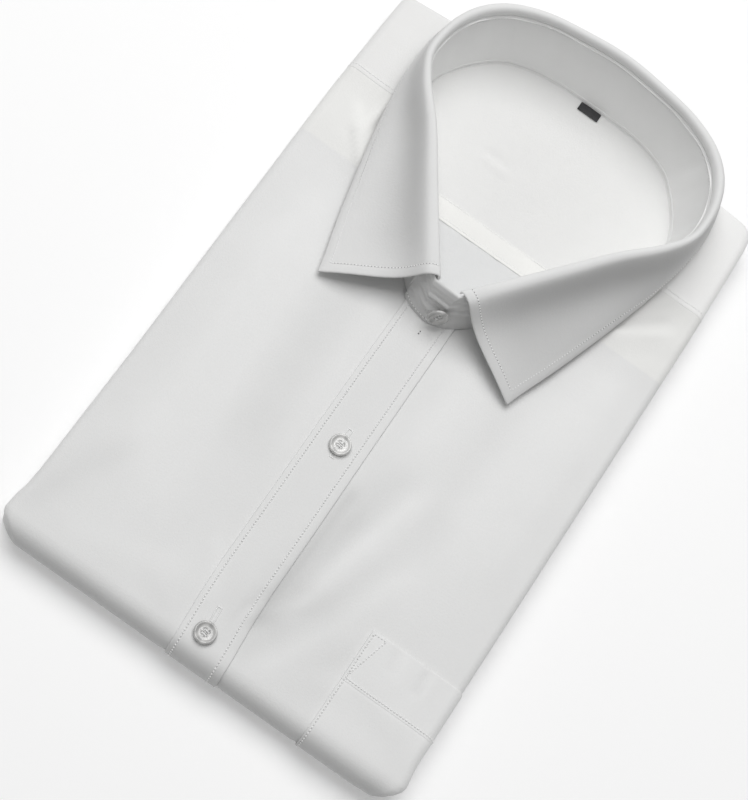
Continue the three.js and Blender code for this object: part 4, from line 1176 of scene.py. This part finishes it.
# buttonholes: two bars of close thread, the slit between them as a row of dark dots of painted shade, and a bar across
# each end
for (x, y), low, high in ((BUTTON_2, -7.6, 10.4), (BUTTON_3, -3.0, 14.6)):
    x = x - drift(x, y)
    for side in (-1.1, 1.1):
        placket_sewing.on_cloth(x + side, dense(y + low, y + high, 0.5), SEWN, 0.6, share=1.3, width=0.7, prick=0)
    placket_sewing.on_cloth(x, dense(y + low + 1, y + high - 1, 0.5), ON_TOP - 0.05, 0.9, share=0.1, width=0.05,
                            prick=0.34)
    for end in (low, high):
        placket_sewing.on_cloth(dense(x - 1.4, x + 1.4, 0.4), y + end, SEWN, 0.5, share=1.4, width=0.7, prick=0)
# two pin holes in the placket under the collar button: dark dots, painted shade in the holes
for x, y, size in ((-3.8, 209.2, 0.5), (-3.7, 210.8, 0.42)):
    spot = cloth_point(x, y, ON_TOP + 0.12)
    placket_sewing.prick(spot, cloth_point(x, y, ON_TOP + 0.5) - spot, size)
placket_sewing.object("placket_stitches", THREAD)

pocket_sewing = Sewing()
tack, band_top = POCKET["left"] + 8.5, POCKET["top"] - 1.5
for columns, rows in ((POCKET_STITCH, dense(band_top, NOSE_END - 34, 1.0)),
                      (np.linspace(POCKET_STITCH, tack, 40), np.linspace(POCKET["bandBottom"] + 2, band_top, 40)),
                      (dense(POCKET_STITCH, tack, 0.8), band_top)):
    pocket_sewing.on_cloth(columns, rows, SEWN, width=0.74, prick=0.1)
columns = dense(POCKET_STITCH, pocket_end - 2, 1.0)
pocket_sewing.on_cloth(columns, BAND_STITCH, SEWN + 0.1 + pocket_lift(columns, 0), share=0.66, width=0.78,
                       prick=0.08)
pocket_sewing.object("pocket_stitches", THREAD)

seam_sewing = Sewing()
for low, high in ((-FOLD_X - 6, -80), (80, FOLD_X + 6)):
    seam_sewing.on_cloth(dense(low, high, 1.0), YOKE_SEAM["y"] + 2.0, 0.16, width=0.6, prick=0.06)
columns = dense(-60, 60, 1.0)
for row in (BACK_SEAM_Y + 1.4, BACK_SEAM_Y + ALLOWANCE):
    lift = FLOOR_LIFT + lining_seam(columns, np.full_like(columns, row)) + FLOOR_SEAT
    seam_sewing.on_cloth(columns, row, lift, slant=False, width=0.5, prick=0.13)
seam_sewing.object("seam_stitches", THREAD)

collar_sewing = Sewing()
leaf_faces = (fall_mid, fall_normals)
UNDER_ROLL = 10                       # the row of the leaf where its front edges' stitches begin


def between_rows(grid, i, j):
    low = int(j)
    high = min(low + 1, grid.shape[1] - 1)
    return grid[i, low] + (grid[i, high] - grid[i, low]) * (j - low)


def fall_line(distance):
    """A sewn line at this distance inside the fall's front and outer edges."""
    rows = [np.interp(-distance, -lengths, np.arange(FALL_ROWS)) for lengths in from_edge]
    picks = [(i, j) for i, j in enumerate(rows) if between_rows(from_front, i, j) > distance]
    outer = [[between_rows(g, i, j) for g in leaf_faces] for i, j in picks]
    ends = []
    for flip in (1, -1):
        from_end = np.abs(along[::flip] - along[::flip][:1])
        for row in range(UNDER_ROLL, math.ceil(picks[0][1]))[::flip]:
            at = np.interp(distance, from_end[:, row], np.arange(FALL_COUNT))
            low = int(at)
            ends.append([g[::flip][low, row] * (low + 1 - at) + g[::flip][low + 1, row] * (at - low)
                         for g in leaf_faces])
    half = len(ends) // 2
    line = np.array(ends[:half] + outer + ends[half:])
    normals = unit(line[:, 1])
    return line[:, 0] + normals * (FALL_WALL / 2), normals


collar_sewing.run(*fall_line(FALL_STITCH), share=0.5, prick=0.36)
places = np.linspace(0.004, 0.996, 500)
inward = -outward(base_curve, places)
collar_sewing.run(stand_points(places, 0.93, 1.0) + inward * 0.02, inward)
places = np.linspace(0.0, TAB_AT, 40)
facing = outward(base_curve, places)
collar_sewing.run(stand_points(1 + places, 0.1, 0.0) + facing * 0.05, facing)
collar_sewing.object("collar_stitches", THREAD)

bpy.data.objects.remove(cutter, do_unlink=True)

# ---- Floor, light and camera ----
def to_world(x, y, z):
    return Vector(tuple((np.array([x, y, z]) + SHIFT) * 0.001))


floor_mesh = bpy.data.meshes.new("studio_floor")
floor_mesh.from_pydata([(-25, -25, 0), (25, -25, 0), (25, 25, 0), (-25, 25, 0)], [], [(0, 1, 2, 3)])
floor_look = Look("studio_floor", (0.9, 0.9, 0.9), 0.9, Emission_Color=(1, 1, 1, 1), Emission_Strength=0.16)
floor_mesh.materials.append(floor_look.material)
placed("studio_floor", floor_mesh)

world = bpy.data.worlds.new("studio")
bpy.context.scene.world = world
world.use_nodes = True
sky, sky_links = world.node_tree.nodes, world.node_tree.links
way = sky.new("ShaderNodeTexCoord")
height = sky.new("ShaderNodeSeparateXYZ")
glow = sky.new("ShaderNodeMapRange")
glow.inputs["To Min"].default_value, glow.inputs["To Max"].default_value = 0.14, 0.42
sky_links.new(way.outputs["Generated"], height.inputs["Vector"])
sky_links.new(height.outputs["Z"], glow.inputs["Value"])
sky_links.new(glow.outputs["Result"], sky["Background"].inputs["Strength"])
sky["Background"].inputs["Color"].default_value = (1, 1, 1, 1)


def soft_lamp(name, azimuth, elevation, distance, size, power):
    """A square soft lamp aimed at the middle of the shirt; azimuth 0 is beyond the collar."""
    data = bpy.data.lights.new(name, "AREA")
    data.shape, data.size, data.energy = "SQUARE", size, power
    lamp = placed(name, data)
    a, e = math.radians(azimuth), math.radians(elevation)
    aim = to_world(0, 200, 20)
    away = Vector((math.sin(a) * math.cos(e), math.cos(a) * math.cos(e), math.sin(e)))
    lamp.location = aim + away * distance
    lamp.rotation_euler = away.to_track_quat("Z", "Y").to_euler()


soft_lamp("key_lamp", azimuth=-24, elevation=69, distance=1.9, size=1.5, power=26)

camera_data = bpy.data.cameras.new("camera")
camera = placed("camera", camera_data)
FOCAL_PX, DISTANCE, TILT, SPIN = 1924.0, 982.0, math.radians(22), math.radians(35.2)
SENSOR, LONG_SIDE_PX = 36.0, 800
camera_data.sensor_width, camera_data.lens = SENSOR, FOCAL_PX * SENSOR / LONG_SIDE_PX
camera_data.clip_start, camera_data.clip_end = 0.05, 20
aim = to_world(-2.8, 165, 22)
back_axis = Vector((0, -math.sin(TILT), math.cos(TILT)))
level = Vector((1, 0, 0))
steep = back_axis.cross(level)
up_axis = -math.sin(SPIN) * level + math.cos(SPIN) * steep
right_axis = math.cos(SPIN) * level + math.sin(SPIN) * steep
rotation = Matrix((right_axis, up_axis, back_axis)).transposed().to_4x4()
camera.matrix_world = Matrix.Translation(aim + back_axis * DISTANCE * 0.001) @ rotation
bpy.context.scene.camera = camera
bpy.context.scene.view_settings.view_transform = "Standard"

bpy.context.view_layer.update()
